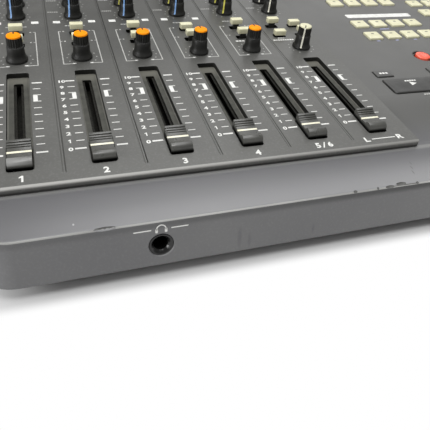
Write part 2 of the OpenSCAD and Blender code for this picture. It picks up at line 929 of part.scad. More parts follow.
// Knob with a fluted grip, a coloured cap and a pointer rib, turned in place.
module knob(u, v, turn, cap_colour, rib_colour) {
    waist = knob_h * 0.58;
    on_panel(u, v)
        rotate([0, 0, turn]) {
            color(knob_black)
                difference() {
                    union() {
                        rotate_extrude()
                            polygon([
                                [0, knob_lift], [knob_r, knob_lift], [knob_r, knob_lift + 1],
                                [knob_r - 0.7, knob_lift + 1.6], [knob_r - 1.1, knob_lift + 2.6],
                                [knob_r - 1.3, knob_lift + 4], [knob_r - 1.4, waist], [0, waist]
                            ]);
                        translate([0, 0, waist - e])
                            linear_extrude(knob_h - 0.8 - waist)
                                difference() {
                                    circle(knob_r - 1.7);
                                    for (a = [10:20:350])
                                        rotate(a)
                                            translate([knob_r - 1.5, 0])
                                                circle(0.45);
                                }
                        translate([0, 0, mixer_pcb_w + 2.5])
                            cylinder(r = shaft_r, h = knob_lift + 1 - mixer_pcb_w - 2.5);
                    }
                    translate([0, 0, knob_h - 1.4 - seat])
                        cylinder(r = cap_r + seat, h = 3);
                }
            color(cap_colour)
                translate([0, 0, knob_h - 1.4])
                    rotate_extrude()
                        polygon([[0, 0], [cap_r, 0], [cap_r, 1], [cap_r - 0.4, 1.4], [0, 1.4]]);
            color(rib_colour)
                translate([-0.5, knob_r - 1.4 - 0.05, knob_lift + 4])
                    cube([1, 0.4, knob_h - knob_lift - 5]);
        }
}

// A pan knob stands in the middle, the level knobs stand at their minimum.
module pan_knob(k) {
    knob(k * strip_pitch, pan_v, 0, orange, knob_black);
}

module level_knob(k, row, colour) {
    knob(k * strip_pitch, row, 150, colour, colour);
}

// Row of push switches: cream caps on dark stems, some latched down.
module switch_row(spots, v) {
    for (s = spots)
        on_panel(s[0], v, -s[1]) {
            color(cream)
                translate([0, 0, sw_top - sw_cap_h])
                    slab(sw_w, sw_d, 0.5, sw_cap_h);
            color(knob_black)
                block(stem_w, stem_d, stem_low, sw_top - sw_cap_h - seat);
        }
}

// Key with a flange under the deck that keeps it in its hole.
module key(w, d, r, h, lip_u, lip_v) {
    translate([0, 0, flange_w - e])
        slab(w, d, r, h - flange_w + e);
    block(w + 2 * lip_u, d + 2 * lip_v, flange_w - flange_t, flange_w);
    block(3, 3, flange_w - flange_t - 3, flange_w - flange_t + e);
}

module key_group(spots, w, d, h) {
    for (s = spots)
        on_deck(s)
            key(w, d, 0.5, h, 1.2, 1.2);
}

module big_key(i) {
    color("#5a5a58")
        on_deck([big_spot[0] + i * big_pitch, big_spot[1]])
            key(big_w, big_d, 1.8, key_h - 0.4, 0, 1.2);
}

module fader_1() { fader(0); }
module fader_2() { fader(1); }
module fader_3() { fader(2); }
module fader_4() { fader(3); }
module fader_56() { fader(4); }
module fader_main() { fader(5); }
module pan_knob_1() { pan_knob(0); }
module pan_knob_2() { pan_knob(1); }
module pan_knob_3() { pan_knob(2); }
module pan_knob_4() { pan_knob(3); }
module pan_knob_56() { pan_knob(4); }
module phones_knob() { level_knob(5, pan_v, white); }
module send1_knob_1() { level_knob(0, row_v[0], blue); }
module send1_knob_2() { level_knob(1, row_v[0], blue); }
module send1_knob_3() { level_knob(2, row_v[0], blue); }
module send1_knob_4() { level_knob(3, row_v[0], blue); }
module send1_knob_56() { level_knob(4, row_v[0], yellow); }
module send1_knob_main() { level_knob(5, row_v[0], white); }
module send2_knob_1() { level_knob(0, row_v[1], yellow); }
module send2_knob_2() { level_knob(1, row_v[1], yellow); }
module send2_knob_3() { level_knob(2, row_v[1], yellow); }
module send2_knob_4() { level_knob(3, row_v[1], yellow); }
module send2_knob_56() { level_knob(4, row_v[1], yellow); }
module send2_knob_main() { level_knob(5, row_v[1], white); }
module low_knob_1() { knob(0, row_v[2], 0, white, white); }
module low_knob_2() { knob(strip_pitch, row_v[2], 0, white, white); }
module low_knob_3() { knob(2 * strip_pitch, row_v[2], 0, white, white); }
module low_knob_4() { knob(3 * strip_pitch, row_v[2], 0, white, white); }
module high_knob_1() { knob(0, row_v[3], 0, white, white); }
module high_knob_2() { knob(strip_pitch, row_v[3], 0, white, white); }
module high_knob_3() { knob(2 * strip_pitch, row_v[3], 0, white, white); }
module high_knob_4() { knob(3 * strip_pitch, row_v[3], 0, white, white); }
module switch_row_front() { switch_row(front_switches, switch_v[0]); }
module switch_row_back() { switch_row(back_switches, switch_v[1]); }
module locate_keys() { color(cream) key_group(locate_spots, key_w, key_d, key_h); }
module edit_keys() { color(cream) key_group(edit_spots, key_w, key_d, key_h); }
module play_key() { big_key(0); }
module stop_key() { big_key(1); }
module search_keys() { color("#5a5a58") key_group(small_spots, small_w, small_d, key_h - 0.4); }

// Round record button with its flange.
module record_button() {
    color("#f0593a")
        on_deck(record_spot)
            rotate_extrude()
                polygon([
                    [0, flange_w - 4], [2, flange_w - 4], [2, flange_w - flange_t],
                    [record_r + 1.6, flange_w - flange_t], [record_r + 1.6, flange_w], [record_r, flange_w],
                    [record_r, key_h], [record_r - 0.6, key_h + 0.5], [0, key_h + 0.5]
                ]);
}

// Jog dial with a finger dimple and its shaft.
module jog_dial() {
    color("#2e2e30")
        on_deck(jog_spot)
            difference() {
                rotate_extrude()
                    polygon([
                        [0, -5.8], [jog_r, -5.8], [jog_r, 3.6], [jog_r - 1.4, 5],
                        [jog_r - 7, 5], [jog_r - 8, 4.2], [0, 4.2]
                    ]);
                translate([0, jog_r - 15, 13])
                    sphere(11);
            }
    color("#2e2e30")
        on_deck(jog_spot)
            translate([0, 0, main_pcb_w + 2])
                cylinder(r = 4, h = -5.8 - main_pcb_w - 2);
}

// Flap behind the disc slot, with a pin at each end.
module disc_door() {
    color("#303032")
        translate([disc_x, hinge_y, hinge_z]) {
            translate([-flap_w / 2, -0.6, -slot_open_h - 2.6])
                cube([flap_w, flap_t, slot_open_h + 2.6]);
            rotate([0, 90, 0])
                cylinder(r = pin_r, h = flap_w + 6, center = true);
        }
}

// Rocker of the mains switch, pressed in at the bottom.
module power_switch() {
    color("#1a1a1a")
        translate([rocker_spot[0], rear_in - 6.6, rocker_spot[1]])
            rotate([8, 0, 0]) {
                intersection() {
                    rotate([0, 90, 0])
                        cylinder(r = rocker_r, h = rocker_w, center = true);
                    translate([-rocker_w, -4, -6.5])
                        cube([2 * rocker_w, 20, 13]);
                }
                rotate([0, 90, 0])
                    cylinder(r = 1.5, h = rocker_w + 4, center = true);
            }
}

// Spindle that turns the disc.
module disc_spindle() {
    color("#b0b0b0")
        translate([disc_x, spin_y, floor_z]) {
            translate([0, 0, 3])
                cylinder(r = spin_r, h = 2.4);
            translate([0, 0, 2])
                cylinder(r = 1.5, h = 1 + e);
        }
}

// Pickup sled on the guide rods, with its lens.
module pickup_sled() {
    color("#3a3a44")
        translate([disc_x, spin_y + 16, floor_z + rod_z])
            difference() {
                union() {
                    block(46, 6, -1.4, 1.4);
                    cylinder(r = 2, h = 2.6);
                }
                for (x = [-20, 20])
                    translate([x, 0, 0])
                        rod_y(rod_r + 0.25, -10, 10);
            }
}

upper_case();
mixer_panel();
bottom_cover();
rear_panel();
rubber_feet();
case_screws();
circuit_boards();
fader_units();
rotary_pots();
headphone_jack();
rear_sockets();
power_unit();
display_window();
lcd_module();
disc_drive();
fader_1();
fader_2();
fader_3();
fader_4();
fader_56();
fader_main();
pan_knob_1();
pan_knob_2();
pan_knob_3();
pan_knob_4();
pan_knob_56();
phones_knob();
send1_knob_1();
send1_knob_2();
send1_knob_3();
send1_knob_4();
send1_knob_56();
send1_knob_main();
send2_knob_1();
send2_knob_2();
send2_knob_3();
send2_knob_4();
send2_knob_56();
send2_knob_main();
low_knob_1();
low_knob_2();
low_knob_3();
low_knob_4();
high_knob_1();
high_knob_2();
high_knob_3();
high_knob_4();
switch_row_front();
switch_row_back();
locate_keys();
edit_keys();
play_key();
stop_key();
search_keys();
record_button();
jog_dial();
disc_door();
power_switch();
disc_spindle();
pickup_sled();
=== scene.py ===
import math

import bmesh
import bpy
from mathutils import Matrix, Vector


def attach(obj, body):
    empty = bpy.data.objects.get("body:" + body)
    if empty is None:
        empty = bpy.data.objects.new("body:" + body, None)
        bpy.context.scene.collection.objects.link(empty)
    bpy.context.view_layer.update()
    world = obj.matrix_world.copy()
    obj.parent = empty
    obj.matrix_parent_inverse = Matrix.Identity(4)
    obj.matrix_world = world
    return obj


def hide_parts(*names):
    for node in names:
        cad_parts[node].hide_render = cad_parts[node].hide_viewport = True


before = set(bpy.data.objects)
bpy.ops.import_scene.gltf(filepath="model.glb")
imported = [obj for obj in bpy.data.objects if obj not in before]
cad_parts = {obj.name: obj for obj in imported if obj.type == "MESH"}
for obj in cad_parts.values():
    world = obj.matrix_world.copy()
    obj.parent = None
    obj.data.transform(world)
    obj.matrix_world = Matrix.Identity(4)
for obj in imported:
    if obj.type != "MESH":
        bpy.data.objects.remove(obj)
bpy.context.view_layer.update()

# Sizes are in millimetres, as in the part's source, until a piece is finished.
MM = 0.001
# The case: its outline, wall, height in front, front lip and rounded rear edge.
BODY_W, BODY_D, CORNER_R, WALL = 436.0, 310.0, 15.0, 2.5
FRONT_Y, REAR_Y = -BODY_D / 2, BODY_D / 2
FOOT_H, FRONT_H, LIP_R, REAR_R = 6.0, 22.0, 1.3, 12.0
LIP_Z = FOOT_H + FRONT_H
# The wrist rest, its crown, its rise to the panel's ridge and its run into the deck.
WRIST_TILT, WRIST_RUN, WRIST_CROWN = math.radians(11), 27.3, 1.1
RIDGE_RISE, BLEND_RUN = 0.9, 40.0
# The mixer panel: slope, plate, bounds and rounded ridge, and the deck's step down beside it.
TILT, PANEL_T, FIT = math.radians(14), 2.5, 0.25
MIX_U0, SEAM_U, MIX_V1 = -15.5, 198.0, 238.0
RIDGE_V, RIDGE_R, RIDGE_GAP = -20.8, 2.2, 0.1
DECK_DROP = 0.6
# The strips and their rows of controls.
PITCH, STRIPS, FIRST_STRIP = 35.7, 6, 19.0
STRIP_NAMES = ["1", "2", "3", "4", "56", "main"]
PAN_V, SEND_V, KNOB_ROW = 86.0, 143.3, 19.0
SWITCH_V, MAIN_SWITCH_U, LATCH = (103.6, 118.2), 8.5, 2.3
SWITCH_CAP, SWITCH_HOLE, KNOB_HOLE_R = (8.0, 4.2), (8.8, 4.9), 3.8
LINE_V, TRAVEL = -1.4, 60.0
# The front face: headphone jack and disc slot.
JACK_X, JACK_Z, DISC_X, DISC_Z = -146.3, 16.3, 130.0, 18.0
DISC_SLOT, FLAP_W, FLAP_H = (74.0, 7.4), 76.0, 10.0
# Printed ink stands this far over a surface, and reaches this far into it.
INK, SUNK = 0.05, 0.02

# The 0 mark of the first strip's scale, up the slope from the ridge, to a thousandth.
AXIS_Y = FRONT_Y + WRIST_RUN
AXIS_Z = LIP_Z + WRIST_RUN * math.tan(WRIST_TILT) + (RIDGE_R + RIDGE_GAP) / math.cos(WRIST_TILT)
ZERO_Y = AXIS_Y - RIDGE_R * math.sin(TILT) - RIDGE_V * math.cos(TILT)
ZERO_Z = AXIS_Z + RIDGE_R * math.cos(TILT) - RIDGE_V * math.sin(TILT)
ZERO = Vector((FIRST_STRIP - BODY_W / 2, round(ZERO_Y, 3), round(ZERO_Z, 3)))
# u to the right, v up the slope and w out of the surface, to the row frame.
PANEL = Matrix.Translation(ZERO) @ Matrix.Rotation(TILT, 4, "X")
DECK = PANEL @ Matrix.Translation((SEAM_U, 0, -DECK_DROP))
# x to the right, y up and z out of the front face or the rear panel.
UPRIGHT = Matrix.Rotation(math.radians(90), 4, "X")
FRONT = Matrix.Translation((0, FRONT_Y, 0)) @ UPRIGHT
REAR_IN = REAR_Y - WALL
REAR = Matrix.Translation((0, REAR_IN, 0)) @ Matrix.Rotation(math.pi, 4, "Z") @ UPRIGHT
# An outline drawn as a side view, pulled to the right.
ACROSS = Matrix(((0, 0, 1, 0), (1, 0, 0, 0), (0, 1, 0, 0), (0, 0, 0, 1)))
# A turned body laid along the x axis.
SIDEWAYS = Matrix.Rotation(math.pi / 2, 4, "Y")


def linear(hex_colour):
    """An sRGB hex colour as linear RGBA."""
    values = [int(hex_colour[i : i + 2], 16) / 255 for i in (1, 3, 5)]
    return (*[c / 12.92 if c <= 0.04045 else ((c + 0.055) / 1.055) ** 2.4 for c in values], 1.0)


def add(mat, kind, inputs=None, **settings):
    """Adds a node with its settings, and sets or links its inputs."""
    node = mat.node_tree.nodes.new("ShaderNode" + kind)
    for name, value in settings.items():
        setattr(node, name, value)
    for name, value in (inputs or {}).items():
        if isinstance(value, bpy.types.NodeSocket):
            mat.node_tree.links.new(value, node.inputs[name])
        else:
            node.inputs[name].default_value = value
    return node


def finish_of(name, colour, roughness, **sockets):
    """A material whose constant values sit on the shader's own sockets."""
    mat = bpy.data.materials.new(name)
    mat.use_nodes = True
    shader = mat.node_tree.nodes["Principled BSDF"]
    shader.inputs["Base Color"].default_value = linear(colour)
    shader.inputs["Roughness"].default_value = roughness
    for socket, value in sockets.items():
        shader.inputs[socket.replace("_", " ")].default_value = value
    return mat, shader


def place_of(mat, matrix=None):
    """Object coordinates, in metres, in the row frame or in a slanted frame of the object."""
    coords = add(mat, "TexCoord").outputs["Object"]
    if matrix is None:
        return coords
    inverse = matrix.inverted()
    turned = {
        "Vector": coords,
        "Location": inverse.translation * MM,
        "Rotation": inverse.to_euler(),
    }
    return add(mat, "Mapping", turned).outputs["Vector"]


def drift(mat, shader, coords, dark, light, size_mm):
    """Uneven colour: two close tones that drift over a length."""
    noise = add(mat, "TexNoise", {"Vector": coords, "Scale": 1000 / size_mm, "Detail": 4.0})
    tones = add(mat, "ValToRGB", {"Fac": noise.outputs["Fac"]})
    low, high = tones.color_ramp.elements
    low.position, high.position = 0.3, 0.7
    low.color, high.color = linear(dark), linear(light)
    mat.node_tree.links.new(tones.outputs["Color"], shader.inputs["Base Color"])


def gloss_drift(mat, shader, coords, low, high, size_mm):
    """Handled gloss: roughness that drifts over a length."""
    noise = add(mat, "TexNoise", {"Vector": coords, "Scale": 1000 / size_mm, "Detail": 5.0})
    middle = {"From Min": 0.3, "From Max": 0.7}
    spread = {"Value": noise.outputs["Fac"], **middle, "To Min": low, "To Max": high}
    gloss = add(mat, "MapRange", spread)
    mat.node_tree.links.new(gloss.outputs["Result"], shader.inputs["Roughness"])


def grain(mat, shader, coords, size_mm, height_mm):
    """Fine moulded or sprayed texture as relief."""
    noise = add(mat, "TexNoise", {"Vector": coords, "Scale": 1000 / size_mm, "Detail": 2.0})
    relief = {"Height": noise.outputs["Fac"], "Distance": height_mm * MM, "Strength": 1.0}
    bump = add(mat, "Bump", relief)
    mat.node_tree.links.new(bump.outputs["Normal"], shader.inputs["Normal"])


def eased(value, start_mm, end_mm, low=0.0, high=1.0):
    """A ramp that eases from low to high between two places along an axis."""
    return value, start_mm * MM, end_mm * MM, low, high, "SMOOTHSTEP"


def even(value, start, end, low=0.0, high=1.0):
    """A ramp that runs straight from low to high between two values."""
    return value, start, end, low, high, "LINEAR"


def tint(mat, shader, colour, *ramps):
    """Lays a colour over the base colour where all its ramps are high."""
    mask = None
    for value, start, end, low, high, run in ramps:
        spread = {"Value": value, "From Min": start, "From Max": end, "To Min": low, "To Max": high}
        share = add(mat, "MapRange", spread, interpolation_type=run).outputs[0]
        if mask is not None:
            share = add(mat, "Math", {0: mask, 1: share}, operation="MULTIPLY").outputs[0]
        mask = share
    base = shader.inputs["Base Color"].links[0].from_socket
    # A colour mix has its two colours on sockets 6 and 7.
    inputs = {0: mask, 6: base, 7: linear(colour)}
    mix = add(mat, "Mix", inputs, data_type="RGBA", clamp_factor=True)
    mat.node_tree.links.new(mix.outputs[2], shader.inputs["Base Color"])


def smear(mat, shader, coords, centre, half, colour, strength):
    """A soft-edged mark of use, centred on a spot."""
    reach = add(mat, "VectorMath", {0: coords, 1: Vector(centre) * MM}, operation="SUBTRACT")
    reach = add(mat, "VectorMath", {0: reach.outputs[0], 1: Vector(half) * MM}, operation="DIVIDE")
    reach = add(mat, "VectorMath", {0: reach.outputs[0]}, operation="LENGTH")
    tint(mat, shader, colour, even(reach.outputs["Value"], 1.0, 0.4, 0.0, strength))


# Satin grey paint on moulded ABS: soft sheen, fine orange peel, faint sprayed flecks.
def satin_paint(name, dark, light, rough=0.36):
    mat, shader = finish_of(name, dark, rough, Specular_IOR_Level=0.5)
    coords = place_of(mat)
    drift(mat, shader, coords, dark, light, 45.0)
    # Flecks are drawn at 1.2 mm, coarser than the real spray, so that they show.
    flecks = add(mat, "TexNoise", {"Vector": coords, "Scale": 1000 / 1.2, "Detail": 2.0})
    tint(mat, shader, "#a2a2a2", even(flecks.outputs["Fac"], 0.5, 0.8, 0.0, 0.1))
    gloss_drift(mat, shader, coords, rough - 0.04, rough + 0.06, 30.0)
    grain(mat, shader, coords, 0.55, 0.012)
    return mat, shader


# Moulded plastic: two close tones, a fine mould texture and handled gloss.
def moulded(name, dark, light, rough, grain_mm=0.5, relief_mm=0.02, patch_mm=12.0, **sockets):
    mat, shader = finish_of(name, dark, rough, **sockets)
    coords = place_of(mat)
    drift(mat, shader, coords, dark, light, patch_mm)
    gloss_drift(mat, shader, coords, rough - 0.06, rough + 0.08, patch_mm * 0.6)
    grain(mat, shader, coords, grain_mm, relief_mm)
    return mat


# Plated metal: bright, with a faint drift of tone and gloss.
def plated(name, dark, light, rough):
    mat, shader = finish_of(name, light, rough, Metallic=1.0)
    coords = place_of(mat)
    drift(mat, shader, coords, dark, light, 8.0)
    gloss_drift(mat, shader, coords, rough - 0.06, rough + 0.1, 5.0)
    grain(mat, shader, coords, 0.4, 0.004)
    return mat


# Screen-printed ink: flat and slightly chalky, on top of the paint.
def screen_ink(name, dark, light):
    return moulded(name, dark, light, 0.6, 0.3, 0.004, 3.0)


# Scuffs on the front face, and a speck, a spot and a hairline on the wrist rest:
# place, half size, colour and strength.
SCUFFS = [
    ((-111.4, FRONT_Y, 13.5), (1.3, 3, 7), "#4c4c50", 0.4),
    ((-106.6, FRONT_Y, 11.5), (1.1, 3, 5), "#4c4c50", 0.35),
    ((-75, FRONT_Y, 12), (0.9, 3, 3), "#4c4c50", 0.4),
    ((-180.4, -150.4, 28.9), (0.6, 0.8, 1), "#d0d0ce", 0.8),
    ((-66.5, -144.5, 30), (1.0, 1.2, 1), "#4c4c4a", 0.6),
    ((-15.4, -141.4, 31), (0.45, 1.9, 2), "#4c4c4a", 0.6),
    ((-17, -144.6, 30.4), (0.45, 1.9, 2), "#4c4c4a", 0.6),
    ((-18.4, -147.8, 29.8), (0.45, 1.9, 2), "#4c4c4a", 0.6),
]
# A broad soft patch of darker tone lies over the strips between the knobs.
PANEL_DARK_PATCH = ((-119, 13, 73), (85, 85, 400), "#3a3a37", 0.45)


# The case's paint, with painted light: painted shade on top and over the deck, a painted sheen on
# the wrist rest, a painted highlight at the ridge's foot, painted shade under the front lip.
def case_paint():
    mat, shader = satin_paint("satin_grey_paint_on_abs", "#656566", "#6c6c6c")
    coords = place_of(mat)
    x, y, z = add(mat, "SeparateXYZ", {0: coords}).outputs
    lean = add(mat, "SeparateXYZ", {0: add(mat, "TexCoord").outputs["Normal"]}).outputs["Z"]
    # Painted shade: faces that look up are darker than the front and sides.
    tint(mat, shader, "#58585a", even(lean, 0.6, 0.9))
    # Painted shade: the top is darker from behind the wrist rest back over the deck.
    tint(mat, shader, "#565654", eased(y, -128, -104))
    # A painted sheen lightens the wrist rest towards the lip, most of all in the middle.
    aside = add(mat, "Math", {0: x}, operation="ABSOLUTE").outputs[0]
    middle = even(aside, 205 * MM, 0.0, 0.1, 0.58)
    tint(mat, shader, "#a8a8a9", eased(y, -132, FRONT_Y), middle, even(lean, 0.45, 0.7))
    # A painted highlight along the foot of the panel's ridge, lightening the ridge's shadow there.
    tint(mat, shader, "#b0b0aa", eased(y, -132.6, -130.4, 0.0, 0.24), eased(y, -128, -129))
    # Painted shade under the front lip, darker towards the right.
    lip_shade = [eased(z, 23.4, 26.4), eased(x, -200, 20, 0.3, 0.9)]
    tint(mat, shader, "#303030", *lip_shade, eased(y, -153, -154.2), even(lean, 0.5, 0.25))
    for mark in SCUFFS:
        smear(mat, shader, coords, *mark)
    return mat


# The panel's paint, darker over a broad soft patch.
def panel_paint():
    mat, shader = satin_paint("satin_grey_paint_on_panel", "#545451", "#5a5a57")
    smear(mat, shader, place_of(mat), *PANEL_DARK_PATCH)
    return mat


# Paint on the ridge: a painted highlight along its crown that fades to the right, and painted shade
# towards its foot.
def ridge_paint():
    mat, shader = satin_paint("ridge_paint_with_painted_highlight_and_shade", "#434341", "#4b4b48", 0.46)
    u, _, w = add(mat, "SeparateXYZ", {0: place_of(mat, PANEL)}).outputs
    tint(mat, shader, "#232321", eased(w, -0.8, -3.0))
    tint(mat, shader, "#9c9b97", eased(w, -1.0, -0.1), eased(u, 0, 200, 0.95, 0.5))
    return mat


# Recess floors under the faders: dull grey with dust, paler along the rims and the far end, with
# painted shade under the fader caps' front.
def dusty_floor():
    mat, shader = finish_of("dusty_paint_and_painted_shade_in_recess", "#52514a", 0.7, Specular_IOR_Level=0.2)
    coords = place_of(mat, PANEL)
    drift(mat, shader, coords, "#43433f", "#53534d", 4.0)
    u, v, _ = add(mat, "SeparateXYZ", {0: coords}).outputs
    tint(mat, shader, "#6a6961", eased(v, 58, 71))
    aside = add(mat, "Math", {0: u, 1: PITCH / 2 * MM}, operation="PINGPONG").outputs[0]
    tint(mat, shader, "#82817a", eased(aside, 4.6, 5.6, 0.0, 0.6))
    # Painted shade: black towards the front end, under the fader caps.
    tint(mat, shader, "#0c0c0b", eased(v, -3, -8))
    grain(mat, shader, coords, 0.6, 0.03)
    return mat


# Charcoal ABS, spark-eroded mould: a painted highlight on its front roll, as strong as asked, and
# painted shade below.
def fader_plastic(name, highlight):
    mat = moulded(name, "#434340", "#4e4e4a", 0.3, 0.4, 0.008, 9.0)
    shader = mat.node_tree.nodes["Principled BSDF"]
    u, v, w = add(mat, "SeparateXYZ", {0: place_of(mat, PANEL)}).outputs
    # Painted highlight on the front roll, fading to the right.
    roll = [eased(w, 1.7, 2.7, 0.0, highlight), eased(v, LINE_V - 3.9, LINE_V - 4.6)]
    tint(mat, shader, "#a4a4a2", *roll, eased(u, -5, 5, 1.0, 0.6))
    # Painted shade: black towards the cap's foot.
    tint(mat, shader, "#0a0a09", eased(w, 1.9, 0.4))
    return mat


# Grey ABS keys, with painted shade darkening them towards their front.
def key_plastic():
    mat = moulded("grey_abs_key", "#484846", "#515150", 0.4, 0.5, 0.012, 12.0)
    shader = mat.node_tree.nodes["Principled BSDF"]
    _, v, _ = add(mat, "SeparateXYZ", {0: place_of(mat, DECK)}).outputs
    tint(mat, shader, "#2b2b29", eased(v, 42, 30, 0.0, 0.9))
    return mat


# Smoked acrylic window: dark, clear and dulled against glare.
def smoked_window():
    looks = {"IOR": 1.49, "Specular_IOR_Level": 0.2, "Alpha": 0.4}
    mat, shader = finish_of("smoked_antiglare_acrylic", "#15191b", 0.2, **looks)
    gloss_drift(mat, shader, place_of(mat), 0.16, 0.24, 20.0)
    return mat


CASE_PAINT = case_paint()
PANEL_PAINT = panel_paint()
RIDGE_PAINT = ridge_paint()
RECESS_DUST_AND_SHADE = dusty_floor()
# Paint rubbed thin along the case's edges: bare pale plastic shows through in patches, and a painted
# highlight lies on the edges' rounding.
EDGE_WEAR_AND_HIGHLIGHT = satin_paint("rubbed_paint_and_painted_highlight_on_edges", "#8a8a87", "#b6b6b3", 0.28)[0]
# Knocks that went through the paint: dark, rough plastic.
KNOCK_ABS = moulded("torn_abs_in_knocks", "#525250", "#666664", 0.65, 0.5, 0.03, 2.0)
# Walls of holes and troughs: painted shade, a dull black that hardly shines.
DULL = {"Specular_IOR_Level": 0.2}
RECESS_SHADE_BLACK = moulded("painted_shade_black_in_recesses", "#1c1c1a", "#262623", 0.65, 0.6, 0.02, 8.0, **DULL)

WHITE_INK = screen_ink("white_screen_ink", "#d4d4d0", "#e8e8e4")
THIN_INK = screen_ink("thinned_white_screen_ink", "#acaca8", "#bcbcb8")
GREY_INK = screen_ink("grey_screen_ink", "#a2a29e", "#b2b2ae")
BLUE_INK = screen_ink("pale_blue_screen_ink", "#8f93b8", "#a3a7c8")
DARK_INK = screen_ink("dark_pad_print_ink", "#4a4a44", "#5c5c54")
# Display: dark segments on grey-green reflective glass.
LCD_INK = moulded("dark_lcd_segments", "#20261c", "#2a3024", 0.3, 0.5, 0.002, 6.0)
LCD = moulded("grey_green_lcd_glass", "#6d7a5c", "#7a8768", 0.2, 1.0, 0.002, 30.0)
SMOKE = smoked_window()

FADER_ABS = fader_plastic("charcoal_abs_fader", 0.0)
FADER_ABS_WITH_HIGHLIGHT = fader_plastic("charcoal_abs_fader_painted_highlight", 0.55)
LINE_ABS = moulded("cream_line_inlay", "#e6e2c8", "#f2efdc", 0.5, 0.4, 0.006, 4.0)
# Black ABS with a fine matt texture that shows grey dust in the flutes.
MATT = {"Specular_IOR_Level": 0.3}
KNOB_ABS = moulded("black_matt_abs_knob", "#171716", "#232320", 0.45, 0.45, 0.015, 6.0, **MATT)
# Coloured ABS of caps and inlays: clean colour, dyed through, with a satin face.
SOFT = {"Specular_IOR_Level": 0.1}
ORANGE_ABS = moulded("orange_abs_cap", "#f68f00", "#fd9a04", 0.5, 0.5, 0.008, 5.0, **SOFT)
BLUE_ABS = moulded("pale_blue_abs_inlay", "#7199cd", "#84abdc", 0.4, 0.5, 0.006, 5.0)
YELLOW_ABS = moulded("lemon_abs_inlay", "#c3bd4c", "#d3cd5e", 0.4, 0.5, 0.006, 5.0)
CREAM_ABS = moulded("cream_abs_key", "#cfccaa", "#dcd9bb", 0.42, 0.5, 0.01, 5.0)
WHITE_ABS = moulded("ivory_abs_inlay", "#d6d4c4", "#e6e4d6", 0.42, 0.5, 0.008, 5.0)
RED_ABS = moulded("red_abs_insulator", "#a8282a", "#b83836", 0.4, 0.5, 0.008, 5.0)
GREY_ABS = key_plastic()
DIAL_ABS = moulded("dark_abs_dial", "#2a2a2c", "#353537", 0.4, 0.5, 0.012, 12.0)
# Red polycarbonate: dyed through, glossy and bright.
RED_PC = moulded("red_polycarbonate_button", "#f0553c", "#fa7258", 0.25, 0.6, 0.004, 4.0, IOR=1.58)
# Black nylon of sockets: hard and shiny.
HARD = {"Specular_IOR_Level": 0.5}
SOCKET_BLACK = moulded("black_nylon_socket", "#0c0c0c", "#161616", 0.2, 0.6, 0.004, 6.0, **HARD)
# Black rubber: dull, with a coarse mould texture.
RUBBER = moulded("black_rubber_foot", "#181818", "#242424", 0.75, 0.6, 0.03, 6.0)
# Solder mask on the boards: green and half glossy.
BOARD = moulded("green_solder_mask", "#2c4c32", "#3c5e40", 0.35, 0.8, 0.01, 10.0)
# Blackened slide units under the troughs, grey with dust.
SLIDE_STEEL = moulded("blackened_steel_slide", "#0a0a08", "#26251f", 0.7, 0.7, 0.02, 1.2, **DULL)
# Powder coat on sheet steel: even colour with a fine pebbled relief.
STEEL_PAINT = moulded("dark_powder_coat_steel", "#343434", "#3e3e3e", 0.5, 0.6, 0.03, 25.0)
COVER_PAINT = moulded("grey_powder_coat_steel", "#4a4a48", "#555553", 0.5, 0.6, 0.03, 25.0)
NICKEL = plated("nickel_plated_brass", "#a8a69e", "#c4c2ba", 0.28)
ZINC = plated("zinc_plated_steel", "#8c8c88", "#a4a4a0", 0.38)


def ring(bm, w, d, r, z, at=(0.0, 0.0), seg=5):
    """Rounded rectangle: a square of the grid operator, sized, its corners bevelled."""
    before = set(bm.faces)
    verts = bmesh.ops.create_grid(bm, x_segments=1, y_segments=1, size=0.5)["verts"]
    bmesh.ops.scale(bm, vec=(w, d, 1), verts=verts)
    bmesh.ops.translate(bm, vec=(at[0], at[1], z), verts=verts)
    if r > 0:
        bmesh.ops.bevel(
            bm,
            geom=verts,
            offset=min(r, min(w, d) / 2 - 0.01),
            offset_type="OFFSET",
            segments=seg,
            profile=0.5,
            affect="VERTICES",
            material=-1,
        )
    return [f for f in bm.faces if f not in before][0]


def placed(bm, matrix):
    """Moves a solid to its place and turns its faces outward."""
    if matrix is not None:
        bm.transform(matrix)
    bmesh.ops.recalc_face_normals(bm, faces=bm.faces)
    if bm.calc_volume(signed=True) < 0:
        bmesh.ops.reverse_faces(bm, faces=bm.faces)
    return bm


def bridged(bm, faces):
    """Walls between rims that lie one above the other, with the inner rims opened."""
    for low, high in zip(faces, faces[1:]):
        bmesh.ops.bridge_loops(bm, edges=list(low.edges) + list(high.edges))
    bmesh.ops.delete(bm, geom=faces[1:-1], context="FACES_ONLY")


def stack(rings, matrix=None):
    """Closed solid through rounded rectangles, one above the other."""
    bm = bmesh.new()
    bridged(bm, [ring(bm, *spec) for spec in rings])
    return placed(bm, matrix)


def block(w, d, r, low, high, matrix=None, at=(0.0, 0.0)):
    """Straight block on a rounded rectangle, between two heights."""
    return stack([(w, d, r, low, at), (w, d, r, high, at)], matrix)


def lathe(profile, matrix=None, steps=48):
    """Turned body from a half section of radius and height."""
    bm = bmesh.new()
    verts = [bm.verts.new((r, 0, z)) for r, z in profile]
    edges = [bm.edges.new(pair) for pair in zip(verts, verts[1:])]
    bmesh.ops.spin(
        bm,
        geom=verts + edges,
        cent=(0, 0, 0),
        axis=(0, 0, 1),
        angle=2 * math.pi,
        steps=steps,
        use_merge=True,
    )
    bmesh.ops.remove_doubles(bm, verts=bm.verts, dist=1e-4)
    return placed(bm, matrix)


def rod(r, low, high, matrix=None, steps=24):
    """Plain round rod or drill between two heights."""
    return lathe([(0, low), (r, low), (r, high), (0, high)], matrix, steps)


